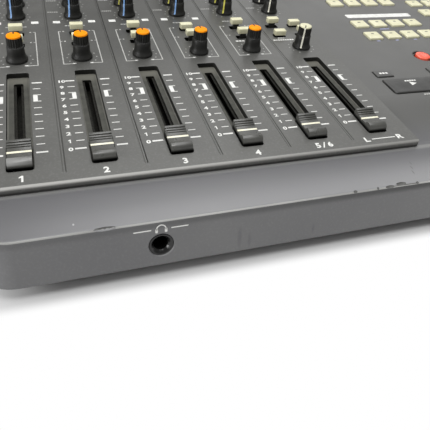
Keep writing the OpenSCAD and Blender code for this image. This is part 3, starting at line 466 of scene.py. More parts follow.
def prism(outline, height, matrix=None):
    """An outline drawn in the ground plane and pulled up."""
    bm = bmesh.new()
    face = bm.faces.new([bm.verts.new((x, y, 0)) for x, y in outline])
    pulled = bmesh.ops.extrude_face_region(bm, geom=[face])["geom"]
    top = [v for v in pulled if isinstance(v, bmesh.types.BMVert)]
    bmesh.ops.translate(bm, vec=(0, 0, height), verts=top)
    return placed(bm, matrix)


def soften(bm, size, segments=3, above=30, chosen=None):
    """Rounds the edges that are sharper than an angle."""
    sharp = [
        e
        for e in bm.edges
        if len(e.link_faces) == 2
        and e.calc_face_angle(0) > math.radians(above)
        and (chosen is None or chosen(e))
    ]
    bmesh.ops.bevel(
        bm,
        geom=sharp,
        offset=size,
        offset_type="OFFSET",
        segments=segments,
        profile=0.5,
        affect="EDGES",
        material=-1,
        clamp_overlap=True,
    )
    return bm


def flute(bm, count, deep, phase, chosen):
    """Presses round flutes into the chosen points of a turned body."""
    for v in bm.verts:
        r = math.hypot(v.co.x, v.co.y)
        if chosen(r, v.co.z):
            turn = math.atan2(v.co.y, v.co.x) * count / (2 * math.pi)
            depth = deep * (0.5 - 0.5 * math.cos(2 * math.pi * (turn + phase)))
            v.co.x *= 1 - depth / r
            v.co.y *= 1 - depth / r
    return bm


def joined(parts):
    """Several meshes in one, which stay separate shells."""
    whole = bmesh.new()
    for bm in parts:
        part = bpy.data.meshes.new("part")
        bm.to_mesh(part)
        whole.from_mesh(part)
        bpy.data.meshes.remove(part)
        bm.free()
    return whole


def combined(bm, operation, others):
    """Cuts, joins or keeps what closed solids share."""
    temps = []
    for source in (bm, joined(others)):
        mesh = bpy.data.meshes.new("temp")
        source.to_mesh(mesh)
        source.free()
        obj = bpy.data.objects.new("temp", mesh)
        bpy.context.scene.collection.objects.link(obj)
        temps.append(obj)
    cut = temps[0].modifiers.new("cut", "BOOLEAN")
    cut.operation, cut.solver, cut.object = operation, "EXACT", temps[1]
    dg = bpy.context.evaluated_depsgraph_get()
    result = bpy.data.meshes.new_from_object(temps[0].evaluated_get(dg))
    out = bmesh.new()
    out.from_mesh(result)
    bpy.data.meshes.remove(result)
    for obj in temps:
        mesh = obj.data
        bpy.data.objects.remove(obj)
        bpy.data.meshes.remove(mesh)
    return out


def piece(name, body, parts, replaces=(), angle=40, weighted=False, marks=()):
    """Joins parts with their materials to one object that rides on a body.

    Marks are pairs of a material and a test that picks the faces which get it."""
    materials = []
    shells = []
    for bm, mat in parts:
        if mat not in materials:
            materials.append(mat)
        for f in bm.faces:
            f.material_index = materials.index(mat)
            f.smooth = True
        shells.append(bm)
    whole = joined(shells)
    for mat, test in marks:
        materials.append(mat)
        for f in whole.faces:
            if test(f):
                f.material_index = len(materials) - 1
    bmesh.ops.scale(whole, vec=(MM, MM, MM), verts=whole.verts)
    mesh = bpy.data.meshes.new(name)
    whole.to_mesh(mesh)
    whole.free()
    mesh.set_sharp_from_angle(angle=math.radians(angle))
    for mat in materials:
        mesh.materials.append(mat)
    obj = bpy.data.objects.new(name, mesh)
    bpy.context.scene.collection.objects.link(obj)
    if weighted:
        normal = obj.modifiers.new("even_flats", "WEIGHTED_NORMAL")
        normal.keep_sharp, normal.weight = True, 80
    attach(obj, body)
    if replaces:
        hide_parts(*replaces)
    return obj


def arc(centre, r, start, end, steps):
    """Points of an arc, angles in degrees."""
    angles = [math.radians(start + (end - start) * i / steps) for i in range(steps + 1)]
    return [(centre[0] + r * math.cos(a), centre[1] + r * math.sin(a)) for a in angles]


def at(matrix, u, v, w=0.0, turn=0.0):
    """A spot of a slanted frame, turned about its normal."""
    return matrix @ Matrix.Translation((u, v, w)) @ Matrix.Rotation(math.radians(turn), 4, "Z")


# The camera stands where the photograph was taken, left of the middle and low.
CAMERA_SPOT = Vector((-182.79, -322.91, 138.45))
CAMERA_RIGHT = Vector((0.949251, -0.312955, 0.031342))
CAMERA_UP = Vector((0.111944, 0.429299, 0.896198))
CAMERA_BACK = Vector((-0.293925, -0.847208, 0.442546))
SENSOR, LENS, SHIFT = 36.0, 41.655, (0.0026, -0.1164)

camera = bpy.data.objects.new("camera", bpy.data.cameras.new("camera"))
bpy.context.scene.collection.objects.link(camera)
bpy.context.scene.camera = camera
camera.data.sensor_width, camera.data.lens = SENSOR, LENS
camera.data.shift_x, camera.data.shift_y = SHIFT
camera.data.clip_start, camera.data.clip_end = 0.01, 20.0
facing = Matrix((CAMERA_RIGHT, CAMERA_UP, CAMERA_BACK)).transposed().to_4x4()
camera.matrix_world = Matrix.Translation(CAMERA_SPOT * MM) @ facing


# Upper case: one moulding with a crowned wrist rest, a deck and a rounded rear edge.
BLEND_Y = AXIS_Y + 2
REAR_C_Y = REAR_Y - REAR_R


def wrist_z(y):
    return LIP_Z + (y - FRONT_Y) * math.tan(WRIST_TILT)


def plane_z(y):
    return ZERO.z + (y - ZERO.y) * math.tan(TILT) - DECK_DROP / math.cos(TILT)


REAR_C_Z = plane_z(REAR_C_Y) - REAR_R / math.cos(TILT)


def smooth_step(t):
    return t * t * (3 - 2 * t)


def case_top(y):
    """Height of the case's top at a depth."""
    if y <= BLEND_Y:
        t = (y - FRONT_Y) / (BLEND_Y - FRONT_Y)
        rise = smooth_step(max(0.0, (t - 0.4) / 0.6))
        return wrist_z(y) + WRIST_CROWN * 4 * t * (1 - t) + RIDGE_RISE * rise
    if y < BLEND_Y + BLEND_RUN:
        share = smooth_step((y - BLEND_Y) / BLEND_RUN)
        return (wrist_z(y) + RIDGE_RISE) * (1 - share) + plane_z(y) * share
    reach = y - REAR_C_Y
    if reach > -REAR_R * math.sin(TILT):
        return REAR_C_Z + math.sqrt(max(REAR_R**2 - reach**2, 0))
    return plane_z(y)


def plan_body(inset, low, top, lip=0.0, foot=0.0):
    """Closed body on the case's plan whose top follows a side view, with a rounded lip and foot."""
    bm = bmesh.new()
    # The bottom waits far below the top until both get their heights.
    deep = 100
    rims = [(inset + foot, -deep), (inset, foot - deep)] if foot else [(inset, -deep)]
    for a in range(0, 91, 15) if lip else [90]:
        turn = math.radians(a)
        rims.append((inset + lip * (1 - math.cos(turn)), lip * (math.sin(turn) - 1)))
    bridged(bm, [ring(bm, BODY_W - 2 * i, BODY_D - 2 * i, CORNER_R - i, z, seg=14) for i, z in rims])
    cuts = [FRONT_Y + WRIST_RUN * i / 12 for i in range(1, 12)]
    cuts += [BLEND_Y + BLEND_RUN * i / 14 for i in range(15)]
    cuts += [y for y, z in arc((REAR_C_Y, 0), REAR_R, 104, 4, 10)]
    for y in cuts:
        bmesh.ops.bisect_plane(
            bm,
            geom=bm.verts[:] + bm.edges[:] + bm.faces[:],
            dist=1e-4,
            plane_co=(0, y, 0),
            plane_no=(0, 1, 0),
        )
    for v in bm.verts:
        v.co.z += low + deep if v.co.z < -deep / 2 else top(v.co.y)
    return placed(bm, None)


def flared(w, d, r, rim, depth, lead=4.0):
    """Rings of a hole with a rounded rim, from the bottom up."""
    rings = [(w, d, r, -depth), (w, d, r, -rim)]
    for a in (30, 60, 90):
        grow = rim * (1 - math.cos(math.radians(a)))
        rings.append((w + 2 * grow, d + 2 * grow, r + grow, -rim + rim * math.sin(math.radians(a))))
    rings.append((*rings[-1][:3], lead))
    return rings


# Places and sizes of the recorder's keys, dial and window on the deck.
KEY_W, KEY_D, KEY_GAP, HOLE_DEEP = 11.3, 10.5, 0.4, 8.0
LOCATE = [(44.6 + 15.8 * i, 98 + 19.3 * j) for j in range(2) for i in range(4)]
EDIT = [(44.1 + 16.2 * i, 156.5) for i in range(4)]
EDIT += [(118.6 + 15.8 * i, 134.4 + 18.4 * j) for j in range(2) for i in range(4)]
BIG_W, BIG_D, SMALL_W, SMALL_D = 40.4, 15.8, 12.0, 7.0
BIG = [(35.0, 31.0), (76.4, 31.0)]
SMALL = [(20.0, 45.9), (61.4, 45.9)]
RECORD, RECORD_R = (65.2, 66.0), 5.0
RECORD_BORE, RECORD_DISH, DISH_DEEP = RECORD_R + 0.7, RECORD_R + 1.8, 1.4
JOG, JOG_R = (160.0, 52.0), 31.0
JOG_BORE = JOG_R + 1
WINDOW, WINDOW_W, WINDOW_D, WINDOW_T = (118.0, 200.0), 150.0, 40.0, 1.5

# Marks of use on the front lip: a flattened dent and small knocks, by place, half length,
# depth and distance behind the lip.
NICKS = [
    (-168.8, 4.6, 0.4, 0.0),
    (-54.8, 1.2, 0.16, 0.0),
    (-42.6, 0.7, 0.12, 0.0),
    (-36.0, 2.6, 0.24, 0.0),
    (-29.4, 2.8, 0.05, 1.0),
    (-20.4, 0.9, 0.12, 0.0),
]
NICK_HALF = (1.0, 0.7)
NICK_TURN = Matrix.Rotation(math.radians(35), 3, "X")


def nick_spot(x, depth, back):
    rise = back * math.tan(WRIST_TILT)
    worn = LIP_R * 0.19 + depth * 0.6
    return Vector((x, FRONT_Y - 0.1 + worn + back, LIP_Z + 0.45 - worn + rise))


def nick(x, half, depth, back):
    bm = bmesh.new()
    bmesh.ops.create_uvsphere(bm, u_segments=24, v_segments=12, radius=1)
    bmesh.ops.scale(bm, vec=(half, *NICK_HALF), verts=bm.verts)
    bmesh.ops.rotate(bm, cent=(0, 0, 0), matrix=NICK_TURN, verts=bm.verts)
    bmesh.ops.translate(bm, vec=nick_spot(x, depth, back), verts=bm.verts)
    return bm


def in_knock(f):
    """Faces of the knocks, and the rear edge of the dent."""
    for x, half, depth, back in NICKS:
        p = NICK_TURN.transposed() @ (f.calc_center_median() - nick_spot(x, depth, back))
        p = Vector((p.x / half, p.y / NICK_HALF[0], p.z / NICK_HALF[1]))
        if p.length < 1.02 and (half < 4 or p.y > 0.35):
            return True
    return False


def on_lip(f):
    """Rounded faces along the upper edge of the outer wall."""
    c = f.calc_center_median()
    out_x = abs(c.x) - BODY_W / 2 + CORNER_R
    out_y = max(FRONT_Y - c.y, c.y - REAR_Y) + CORNER_R
    in_corner = out_x > 0 and out_y > 0
    inset = CORNER_R - (math.hypot(out_x, out_y) if in_corner else max(out_x, out_y))
    return inset < LIP_R + 0.1 and 0.5 < f.normal.z < 0.7 and LIP_Z - 3 < c.z


FLAT_DECK = DECK.inverted()


def in_dish(f):
    """Wall of the dish round the record button, which gets painted shade."""
    p = FLAT_DECK @ f.calc_center_median()
    upright = abs((FLAT_DECK.to_3x3() @ f.normal).z) < 0.6
    return upright and -DISH_DEEP - 0.1 < p.z < 0 and math.dist(p.xy, RECORD) < RECORD_DISH + 0.3


def inner_top(y):
    """Height of the hollow's top at a depth, level under the rounded rear edge."""
    return min(case_top(y), case_top(min(y, REAR_C_Y))) - WALL / math.cos(TILT)


def key_hole(spot, w, d, r, rim):
    rings = flared(w + 2 * KEY_GAP, d + 2 * KEY_GAP, r, rim, HOLE_DEEP)
    return stack(rings, at(DECK, *spot))


def case_holes():
    open_v0 = RIDGE_V + 2.3
    opening = flared(SEAM_U - MIX_U0, MIX_V1 - open_v0, 0, 0.2, 16)
    holes = [stack(opening, at(PANEL, (SEAM_U + MIX_U0) / 2, (MIX_V1 + open_v0) / 2, -DECK_DROP))]
    holes += [key_hole(spot, KEY_W, KEY_D, 0.9, 0.3) for spot in LOCATE + EDIT]
    pair_w, pair_u = BIG[1][0] - BIG[0][0] + BIG_W, (BIG[0][0] + BIG[1][0]) / 2
    holes.append(key_hole((pair_u, BIG[0][1]), pair_w, BIG_D, 2.2, 0.4))
    holes += [key_hole(spot, SMALL_W, SMALL_D, 0.9, 0.3) for spot in SMALL]
    record = [(0, -HOLE_DEEP), (RECORD_BORE, -HOLE_DEEP), (RECORD_BORE, -DISH_DEEP)]
    record += [(RECORD_DISH, -DISH_DEEP), (RECORD_DISH, -0.4)]
    record += [(RECORD_DISH + 0.4, 0), (RECORD_DISH + 0.4, 4), (0, 4)]
    holes.append(lathe(record, at(DECK, *RECORD), 64))
    jog = [(0, -HOLE_DEEP), (JOG_BORE, -HOLE_DEEP), (JOG_BORE, -0.5)]
    jog += [(JOG_BORE + 0.5, 0), (JOG_BORE + 0.5, 9), (0, 9)]
    holes.append(lathe(jog, at(DECK, *JOG), 96))
    seat = flared(WINDOW_W + 0.5, WINDOW_D + 0.5, 2, 0.3, WINDOW_T)
    holes.append(stack(seat, at(DECK, *WINDOW)))
    jack = [(0, -9), (5.35, -9), (5.35, -0.35), (5.7, 0), (5.7, 3), (0, 3)]
    holes.append(lathe(jack, at(FRONT, JACK_X, JACK_Z)))
    holes.append(stack(flared(*DISC_SLOT, 1, 0.5, 9), at(FRONT, DISC_X, DISC_Z)))
    holes.append(block(*REAR_OPENING, 3, -4, 6, at(REAR, 0, REAR_MID)))
    return holes


def upper_case():
    shell = plan_body(0, FOOT_H, case_top, LIP_R, 0.5)
    shell = combined(shell, "DIFFERENCE", [plan_body(WALL, FOOT_H - 2, inner_top)])
    shell = combined(shell, "DIFFERENCE", case_holes())
    sight = block(WINDOW_W - 4, WINDOW_D - 4, 1, -8, 3, at(DECK, *WINDOW))
    shell = combined(shell, "DIFFERENCE", [sight] + [nick(*spec) for spec in NICKS])
    # Cup under the dial, open round the dial's shaft.
    hub_r, cup_r = 4.5, JOG_R + 3
    cup = [(hub_r, -6.5), (JOG_BORE, -6.5), (JOG_BORE, -1.8), (cup_r, -1.8)]
    cup += [(cup_r, -8.5), (hub_r, -8.5), (hub_r, -6.5)]
    # The lip's rounding gets rubbed pale paint with a painted highlight, the dish's wall painted
    # shade.
    piece(
        "upper_case_moulding",
        "case",
        [(shell, CASE_PAINT), (lathe(cup, at(DECK, *JOG), 96), CASE_PAINT)],
        ["upper_case"],
        weighted=True,
        marks=[(EDGE_WEAR_AND_HIGHLIGHT, on_lip), (KNOCK_ABS, in_knock), (RECESS_SHADE_BLACK, in_dish)],
    )


# Mixer panel: a plate with a rounded ridge, fader troughs and fine strip grooves.
TROUGH_W, TROUGH_D, TROUGH_WALL, SLOT_W = 11.4, 3.0, 1.2, 4.8
CAP_W, CAP_REAR, CAP_FRONT, CAP_FOOT, CAP_LOW = 10.3, 7.4, 9.25, 8.2, -2.2
TROUGH_V0, TROUGH_V1 = LINE_V - CAP_FRONT - 0.95, LINE_V + TRAVEL + CAP_REAR + 5.3
SLOT_V0, SLOT_V1 = LINE_V - 4.6, LINE_V + TRAVEL + 6.4
ROWS = [SEND_V + KNOB_ROW * i for i in range(4)]
KNOB_SPOTS = [(k * PITCH, PAN_V) for k in range(STRIPS)]
KNOB_SPOTS += [(k * PITCH, ROWS[i]) for i in range(2) for k in range(STRIPS)]
KNOB_SPOTS += [(k * PITCH, ROWS[i]) for i in (2, 3) for k in range(4)]
# Places of the switches along each row, and how far a latched one lies down.
MAIN_U = (STRIPS - 1) * PITCH
FRONT_SWITCHES = [(k * PITCH, 0.0) for k in range(5)]
FRONT_SWITCHES += [(MAIN_U - MAIN_SWITCH_U, LATCH), (MAIN_U + MAIN_SWITCH_U, 0.0)]
BACK_SWITCHES = [(k * PITCH, LATCH if k == 3 else 0.0) for k in range(5)]
BACK_SWITCHES += [(MAIN_U - MAIN_SWITCH_U, 0.0), (MAIN_U + MAIN_SWITCH_U, LATCH)]
SWITCH_ROWS = [
    ("switch_row_front", FRONT_SWITCHES, SWITCH_V[0]),
    ("switch_row_back", BACK_SWITCHES, SWITCH_V[1]),
]


def panel_plate():
    width = SEAM_U - MIX_U0 - 2 * FIT
    depth = MIX_V1 - FIT - RIDGE_V + RIDGE_R
    ridge = (RIDGE_V, -RIDGE_R)
    side = [(MIX_V1 - FIT, -PANEL_T), (MIX_V1 - FIT, 0)]
    side += arc(ridge, RIDGE_R, 90, 180, 10)
    # Below its middle the ridge is flattened, because the wrist rest rises to meet it.
    squash = (RIDGE_R - RIDGE_RISE) / RIDGE_R
    side += [(v, -RIDGE_R + (w + RIDGE_R) * squash) for v, w in arc(ridge, RIDGE_R, 189, 270, 9)]
    side += [(RIDGE_V + 1.6, RIDGE_RISE - 2 * RIDGE_R), (RIDGE_V + 1.6, -PANEL_T)]
    plate = prism(side, width, Matrix.Translation((MIX_U0 + FIT, 0, 0)) @ ACROSS)
    middle = ((MIX_U0 + SEAM_U) / 2, RIDGE_V - RIDGE_R + depth / 2)
    plate = combined(plate, "INTERSECT", [block(width, depth, 2.5, -10, 10, None, middle)])

    def on_rim(e):
        """Upper edges along the sides and the rear, behind the ridge."""
        for v in e.verts:
            u, length, w = v.co
            beside = u < MIX_U0 + FIT + 0.01 or u > SEAM_U - FIT - 0.01
            if abs(w) >= 0.01 or length <= RIDGE_V + 1:
                return False
            if not (beside or length > MIX_V1 - FIT - 2.6):
                return False
        return True

    return soften(plate, 0.3, 2, 50, on_rim)


MID_TROUGH, LONG_TROUGH = (TROUGH_V0 + TROUGH_V1) / 2, TROUGH_V1 - TROUGH_V0
MID_SLOT, LONG_SLOT = (SLOT_V0 + SLOT_V1) / 2, SLOT_V1 - SLOT_V0


def trough_box(u):
    """Walls of a fader trough under the plate."""
    grown = 2 * TROUGH_WALL
    return block(TROUGH_W + grown, LONG_TROUGH + grown, 2, -4.2, -1, None, (u, MID_TROUGH))


def trough_hole(u):
    """Trough with a rounded rim, and the lever's slot through its floor."""
    slot, trough = (u, MID_SLOT), (u, MID_TROUGH)
    rings = [(SLOT_W, LONG_SLOT, 1, -10, slot), (SLOT_W, LONG_SLOT, 1, -3.2, slot)]
    rings.append((SLOT_W + 0.4, LONG_SLOT + 0.4, 1.2, -TROUGH_D, slot))
    rings += [(*rim, trough) for rim in flared(TROUGH_W, LONG_TROUGH, 1.4, 0.25, TROUGH_D)]
    return stack(rings)


def strip_groove(u, half, deep):
    """Fine V groove between two strips."""
    v0, v1 = -15.5, MIX_V1 + 5
    section = [(-half, 0.6), (-half, 0), (0, -deep), (half, 0), (half, 0.6)]
    along = Matrix(((1, 0, 0, u), (0, 0, 1, v0), (0, 1, 0, 0), (0, 0, 0, 1)))
    return prism(section, v1 - v0, along)


FLAT_PANEL = PANEL.inverted()


def on_panel(f):
    """A face's place and lean in the panel's frame."""
    return FLAT_PANEL @ f.calc_center_median(), (FLAT_PANEL.to_3x3() @ f.normal).z


def inside_rim(p):
    return MIX_U0 + 1 < p.x < SEAM_U - 1 and RIDGE_V + 4 < p.y < MIX_V1 - 1


def in_recess(f):
    p, lean = on_panel(f)
    return inside_rim(p) and p.z < -0.02 and abs(lean) < 0.6


def on_recess_floor(f):
    p, lean = on_panel(f)
    return inside_rim(p) and -TROUGH_D - 0.3 < p.z < -TROUGH_D + 0.4 and lean > 0.6


def on_ridge(f):
    p, _ = on_panel(f)
    return p.y < RIDGE_V + 0.05


# Bevel faces of the panel's right edge behind the pan knobs: they get a painted highlight.
def on_seam(f):
    p, lean = on_panel(f)
    return p.x > SEAM_U - 1 and p.y > PAN_V and 0.2 < lean < 0.98


def mixer_panel():
    plate = combined(panel_plate(), "UNION", [trough_box(k * PITCH) for k in range(STRIPS)])
    holes = [trough_hole(k * PITCH) for k in range(STRIPS)]
    holes += [rod(KNOB_HOLE_R, -10, 5, at(Matrix(), u, v), 32) for u, v in KNOB_SPOTS]
    for _, row, v in SWITCH_ROWS:
        holes += [stack(flared(*SWITCH_HOLE, 1.0, 0.15, 10), at(Matrix(), u, v)) for u, _ in row]
    for k in range(STRIPS - 1):
        between = (k + 0.5) * PITCH
        holes += [strip_groove(between - 0.6, 0.2, 0.2), strip_groove(between + 0.6, 0.3, 0.4)]
    plate = combined(plate, "DIFFERENCE", holes)
    plate.transform(PANEL)
    # Walls of holes and troughs get painted shade, the recess floors painted shade under the caps,
    # the ridge a painted highlight and shade, the seam's bevel a painted highlight.
    piece(
        "mixer_panel_plate",
        "case",
        [(plate, PANEL_PAINT)],
        ["mixer_panel"],
        weighted=True,
        marks=[
            (RECESS_SHADE_BLACK, in_recess),
            (RECESS_DUST_AND_SHADE, on_recess_floor),
            (RIDGE_PAINT, on_ridge),
            (EDGE_WEAR_AND_HIGHLIGHT, on_seam),
        ],
    )


# Fader cap: a ribbed finger dish that rises to the rear, a flat with a cream line, a front roll.
CAP_FLAT, CAP_TOP, FINGER_R, FINGER_V = 2.4, 4.2, 9.8, 0.6
ROLL, ROLL_R = (2.85 - CAP_FRONT, 1.0), 2.85
RIBS, RIB_V, RIB_PITCH, RIB_T, RIB_D = 3, 2.8, 1.2, 0.6, 0.3


def finger_dish(v):
    """Height of the finger dish at a place along the cap."""
    return CAP_FLAT + FINGER_R - math.sqrt(FINGER_R**2 - (v - FINGER_V) ** 2)


def fader_cap():
    outline = [(-CAP_FOOT, CAP_LOW), (CAP_REAR, CAP_LOW)]
    outline += arc((CAP_REAR - 0.6, CAP_TOP - 0.6), 0.6, 0, 90, 4)
    outline += [(6.3, CAP_TOP)]
    for i in reversed(range(RIBS)):
        near = RIB_V + RIB_PITCH * i
        far = near + RIB_T
        floor = finger_dish(near) - RIB_D
        outline += [(far, finger_dish(far)), (far - 0.08, floor)]
        outline += [(near + 0.08, floor), (near, finger_dish(near))]
    outline += [(v, finger_dish(v)) for v in (2.4, 1.8, 1.2)]
    outline += [(FINGER_V, CAP_FLAT)]
    roll_start = math.degrees(math.asin((CAP_FLAT - ROLL[1]) / ROLL_R))
    outline += arc(ROLL, ROLL_R, roll_start, 205, 20)
    outline += [(-CAP_FOOT - 0.2, -0.6)]
    cap = prism(outline, CAP_W, Matrix.Translation((-CAP_W / 2, 0, 0)) @ ACROSS)
    return soften(cap, 0.12, 2, 80, lambda e: abs(e.verts[0].co.x - e.verts[1].co.x) < 0.01)


def faders():
    cap = fader_cap()
    wide, narrow = CAP_W + 0.1, CAP_W - 0.1
    for k, label in enumerate(STRIP_NAMES):
        name = "fader_" + label
        spot = at(PANEL, k * PITCH, LINE_V)
        body = cap.copy()
        body.transform(spot)
        line = stack([(wide, 1.3, 0, 2.0), (wide, 1.3, 0, 2.44), (narrow, 1.1, 0, 2.48)], spot)
        parts = [(body, FADER_ABS_WITH_HIGHLIGHT if k == 0 else FADER_ABS), (line, LINE_ABS)]
        parts.append((block(1.2, 4, 0.2, -9.2, -1.0, spot), ZINC))
        parts.append((block(7, 8, 0.4, -10.2, -7.2, spot), SOCKET_BLACK))
        piece(name + "_cap", name, parts, [name], angle=30)
    cap.free()


# Knob: smooth flared foot, fluted grip above a step, coloured cap and pointer.
WAIST, FLUTES, KNOB_STEPS = 9.0, 20, 80
FOOT_LINE = [(6.0, 0.5), (6.0, 1.35), (5.85, 1.75), (5.45, 2.2)]
FOOT_LINE += [(5.1, 3.0), (4.9, 4.2), (4.76, 6.0), (4.66, WAIST - 0.3)]
GRIP_LINE = [(4.5, WAIST - 0.05), (4.36, WAIST), (4.34, WAIST + 0.25), (4.3, WAIST + 0.9)]
GRIP_LINE += [(4.24, 13.6), (4.2, 14.25), (4.05, 14.5)]


def knob_body():
    shaft = [(0, -11.9), (3, -11.9), (3, 0.5)]
    section = shaft + FOOT_LINE + GRIP_LINE + [(3.95, 14.5), (3.9, 14.0), (0, 14.0)]
    bm = lathe(section, None, KNOB_STEPS)
    return flute(bm, FLUTES, 0.42, 0.5, lambda r, z: z > WAIST + 0.2 and r > 4.1)


def knob_cap():
    section = [(0, 14.02), (3.86, 14.02), (3.88, 14.9), (3.75, 15.22)]
    section += [(3.4, 15.4), (2.0, 15.5), (0, 15.52)]
    return lathe(section, None, 40)


def knob_pointer():
    """Line inlaid down the knob's side from the cap to the skirt."""
    outer = [(r + 0.14, z) for r, z in FOOT_LINE[2:] + GRIP_LINE[:-1]]
    outer += [(4.2, 14.55), (3.8, 14.75)]
    inner = [(r - 0.5, z) for r, z in reversed(outer)]
    to_rear = Matrix(((0, 0, -1, 0), (1, 0, 0, 0), (0, 1, 0, 0), (0, 0, 0, 1)))
    return prism(outer + inner, 1.0, Matrix.Translation((0.5, 0, 0)) @ to_rear)


def knob_sets():
    """Name, strip, row, rest angle, cap finish and pointer finish of each knob."""
    channels = STRIP_NAMES[:5]
    sets = [("pan_knob_" + s, k, PAN_V, 0, ORANGE_ABS, None) for k, s in enumerate(channels)]
    sets.append(("phones_knob", 5, PAN_V, 150, CREAM_ABS, WHITE_ABS))
    for k, s in enumerate(channels):
        send = BLUE_ABS if k < 4 else YELLOW_ABS
        sets.append(("send1_knob_" + s, k, ROWS[0], 150, send, send))
        sets.append(("send2_knob_" + s, k, ROWS[1], 150, YELLOW_ABS, YELLOW_ABS))
    sets.append(("send1_knob_main", 5, ROWS[0], 150, WHITE_ABS, WHITE_ABS))
    sets.append(("send2_knob_main", 5, ROWS[1], 150, WHITE_ABS, WHITE_ABS))
    for k, s in enumerate(channels[:4]):
        sets.append(("low_knob_" + s, k, ROWS[2], 0, WHITE_ABS, WHITE_ABS))
        sets.append(("high_knob_" + s, k, ROWS[3], 0, WHITE_ABS, WHITE_ABS))
    return sets


def knobs():
    body, cap, line = knob_body(), knob_cap(), knob_pointer()
    notch = block(0.7, 2.9, 0.2, 15.2, 15.56, None, (0, 2.3))
    for name, k, v, turn, cap_finish, line_finish in knob_sets():
        spot = at(PANEL, k * PITCH, v, 0, turn)
        parts = [(body.copy(), KNOB_ABS), (cap.copy(), cap_finish), (notch.copy(), KNOB_ABS)]
        if line_finish:
            parts.append((line.copy(), line_finish))
        for bm, mat in parts:
            bm.transform(spot)
        piece(name + "_moulding", name, parts, [name], angle=40)
    for bm in (body, cap, line, notch):
        bm.free()


# Push switches: cream caps on dark stems, some latched down.
def switches():
    for name, row, v in SWITCH_ROWS:
        parts = []
        for u, low in row:
            spot = at(PANEL, u, v, -low)
            cap = soften(block(*SWITCH_CAP, 0.5, 3.2, 6.6), 0.3, 3, 50)
            cap.transform(spot)
            parts.append((cap, CREAM_ABS))
            parts.append((block(3.6, 3, 0.2, -6.8, 3.15, spot), KNOB_ABS))
        piece(name + "_caps", name, parts, [name])


# Printed bars, dots, figures and rows of blocks: raised ink.
def ink_box(u0, v0, u1, v1, matrix):
    """A printed bar between two corners."""
    mid = ((u0 + u1) / 2, (v0 + v1) / 2)
    return block(abs(u1 - u0), abs(v1 - v0), 0, -SUNK, INK, matrix, mid)


def ink_dot(u, v, r, matrix):
    return rod(r, -SUNK, INK, at(matrix, u, v), 12)


def ink_shape(outline, matrix):
    """A printed shape inside an outline."""
    return prism(outline, INK + SUNK, matrix @ Matrix.Translation((0, 0, -SUNK)))


def ink_row(u, v, width, height, count, matrix):
    """A row of small printed blocks, centred on a spot."""
    step = width / count
    left = u - width / 2
    return [
        ink_box(left + i * step, v - height / 2, left + (i + 0.8) * step, v + height / 2, matrix)
        for i in range(count)
    ]


GLYPHS = {}


def glyphs(text, height, matrix, stretch=1.25, bold=0.035):
    """Plain characters as raised ink, centred on a spot."""
    form = (text, height, stretch, bold)
    if form not in GLYPHS:
        curve = bpy.data.curves.new("glyphs", "FONT")
        curve.body, curve.size, curve.extrude, curve.offset = text, 1.0, 0.02, bold
        curve.resolution_u = 4
        obj = bpy.data.objects.new("glyphs", curve)
        bpy.context.scene.collection.objects.link(obj)
        dg = bpy.context.evaluated_depsgraph_get()
        mesh = bpy.data.meshes.new_from_object(obj.evaluated_get(dg))
        bm = bmesh.new()
        bm.from_mesh(mesh)
        bpy.data.objects.remove(obj)
        bpy.data.meshes.remove(mesh)
        bmesh.ops.remove_doubles(bm, verts=bm.verts, dist=1e-5)
        low = Vector([min(v.co[i] for v in bm.verts) for i in range(3)])
        high = Vector([max(v.co[i] for v in bm.verts) for i in range(3)])
        scale = height / (high.y - low.y)
        size = Matrix.Diagonal((scale * stretch, scale, 1.75, 1))
        bm.transform(size @ Matrix.Translation(-(low + high) / 2))
        GLYPHS[form] = bm
    out = GLYPHS[form].copy()
    out.transform(matrix @ Matrix.Translation((0, 0, 0.015)))
    return out


def figure(text, height, matrix, stretch=1.25):
    """A plain figure, where a 1 has a bold stem and a flag."""
    if text != "1":
        return glyphs(text, height, matrix, stretch)
    stem = [(-0.02, -0.5), (0.2, -0.5), (0.2, 0.5), (0.04, 0.5)]
    flag = [(-0.26, 0.3), (-0.26, 0.12), (-0.02, 0.22)]
    return ink_shape([(x * height, y * height) for x, y in stem + flag], matrix)


def key(w, d, r, height, flange_u, flange_v, scoop=0.0):
    """Key with a soft top edge and a flange under the deck."""
    edge, peg_w, peg_low, flange_low, flange_top, overlap = 0.5, 3, -7.2, -4.2, -3.1, 0.1
    rings = [(w, d, r, flange_top - overlap), (w, d, r, height - edge)]
    for a in (30, 60, 90):
        shrink = 2 * edge * (1 - math.cos(math.radians(a)))
        rings.append((w - shrink, d - shrink, r, height - edge + edge * math.sin(math.radians(a))))
    if scoop:
        rings.append((w - 5, d - 5, r, height - scoop))
    flange = block(w + 2 * flange_u, d + 2 * flange_v, 0, flange_low, flange_top)
    peg = block(peg_w, peg_w, 0, peg_low, flange_low + overlap)
    return joined([stack(rings), flange, peg])


def small_keys():
    """Cream keys, each with a small dark mark."""
    for name, spots in (("locate_keys", LOCATE), ("edit_keys", EDIT)):
        parts = []
        for u, v in spots:
            cap = key(KEY_W, KEY_D, 0.5, 1.2, 1.2, 1.2)
            cap.transform(at(DECK, u, v))
            parts.append((cap, CREAM_ABS))
            parts.append((block(2.4, 1.0, 0.3, 1.18, 1.2 + INK, at(DECK, u, v + 1.6)), DARK_INK))
        piece(name + "_caps", name, parts, [name])


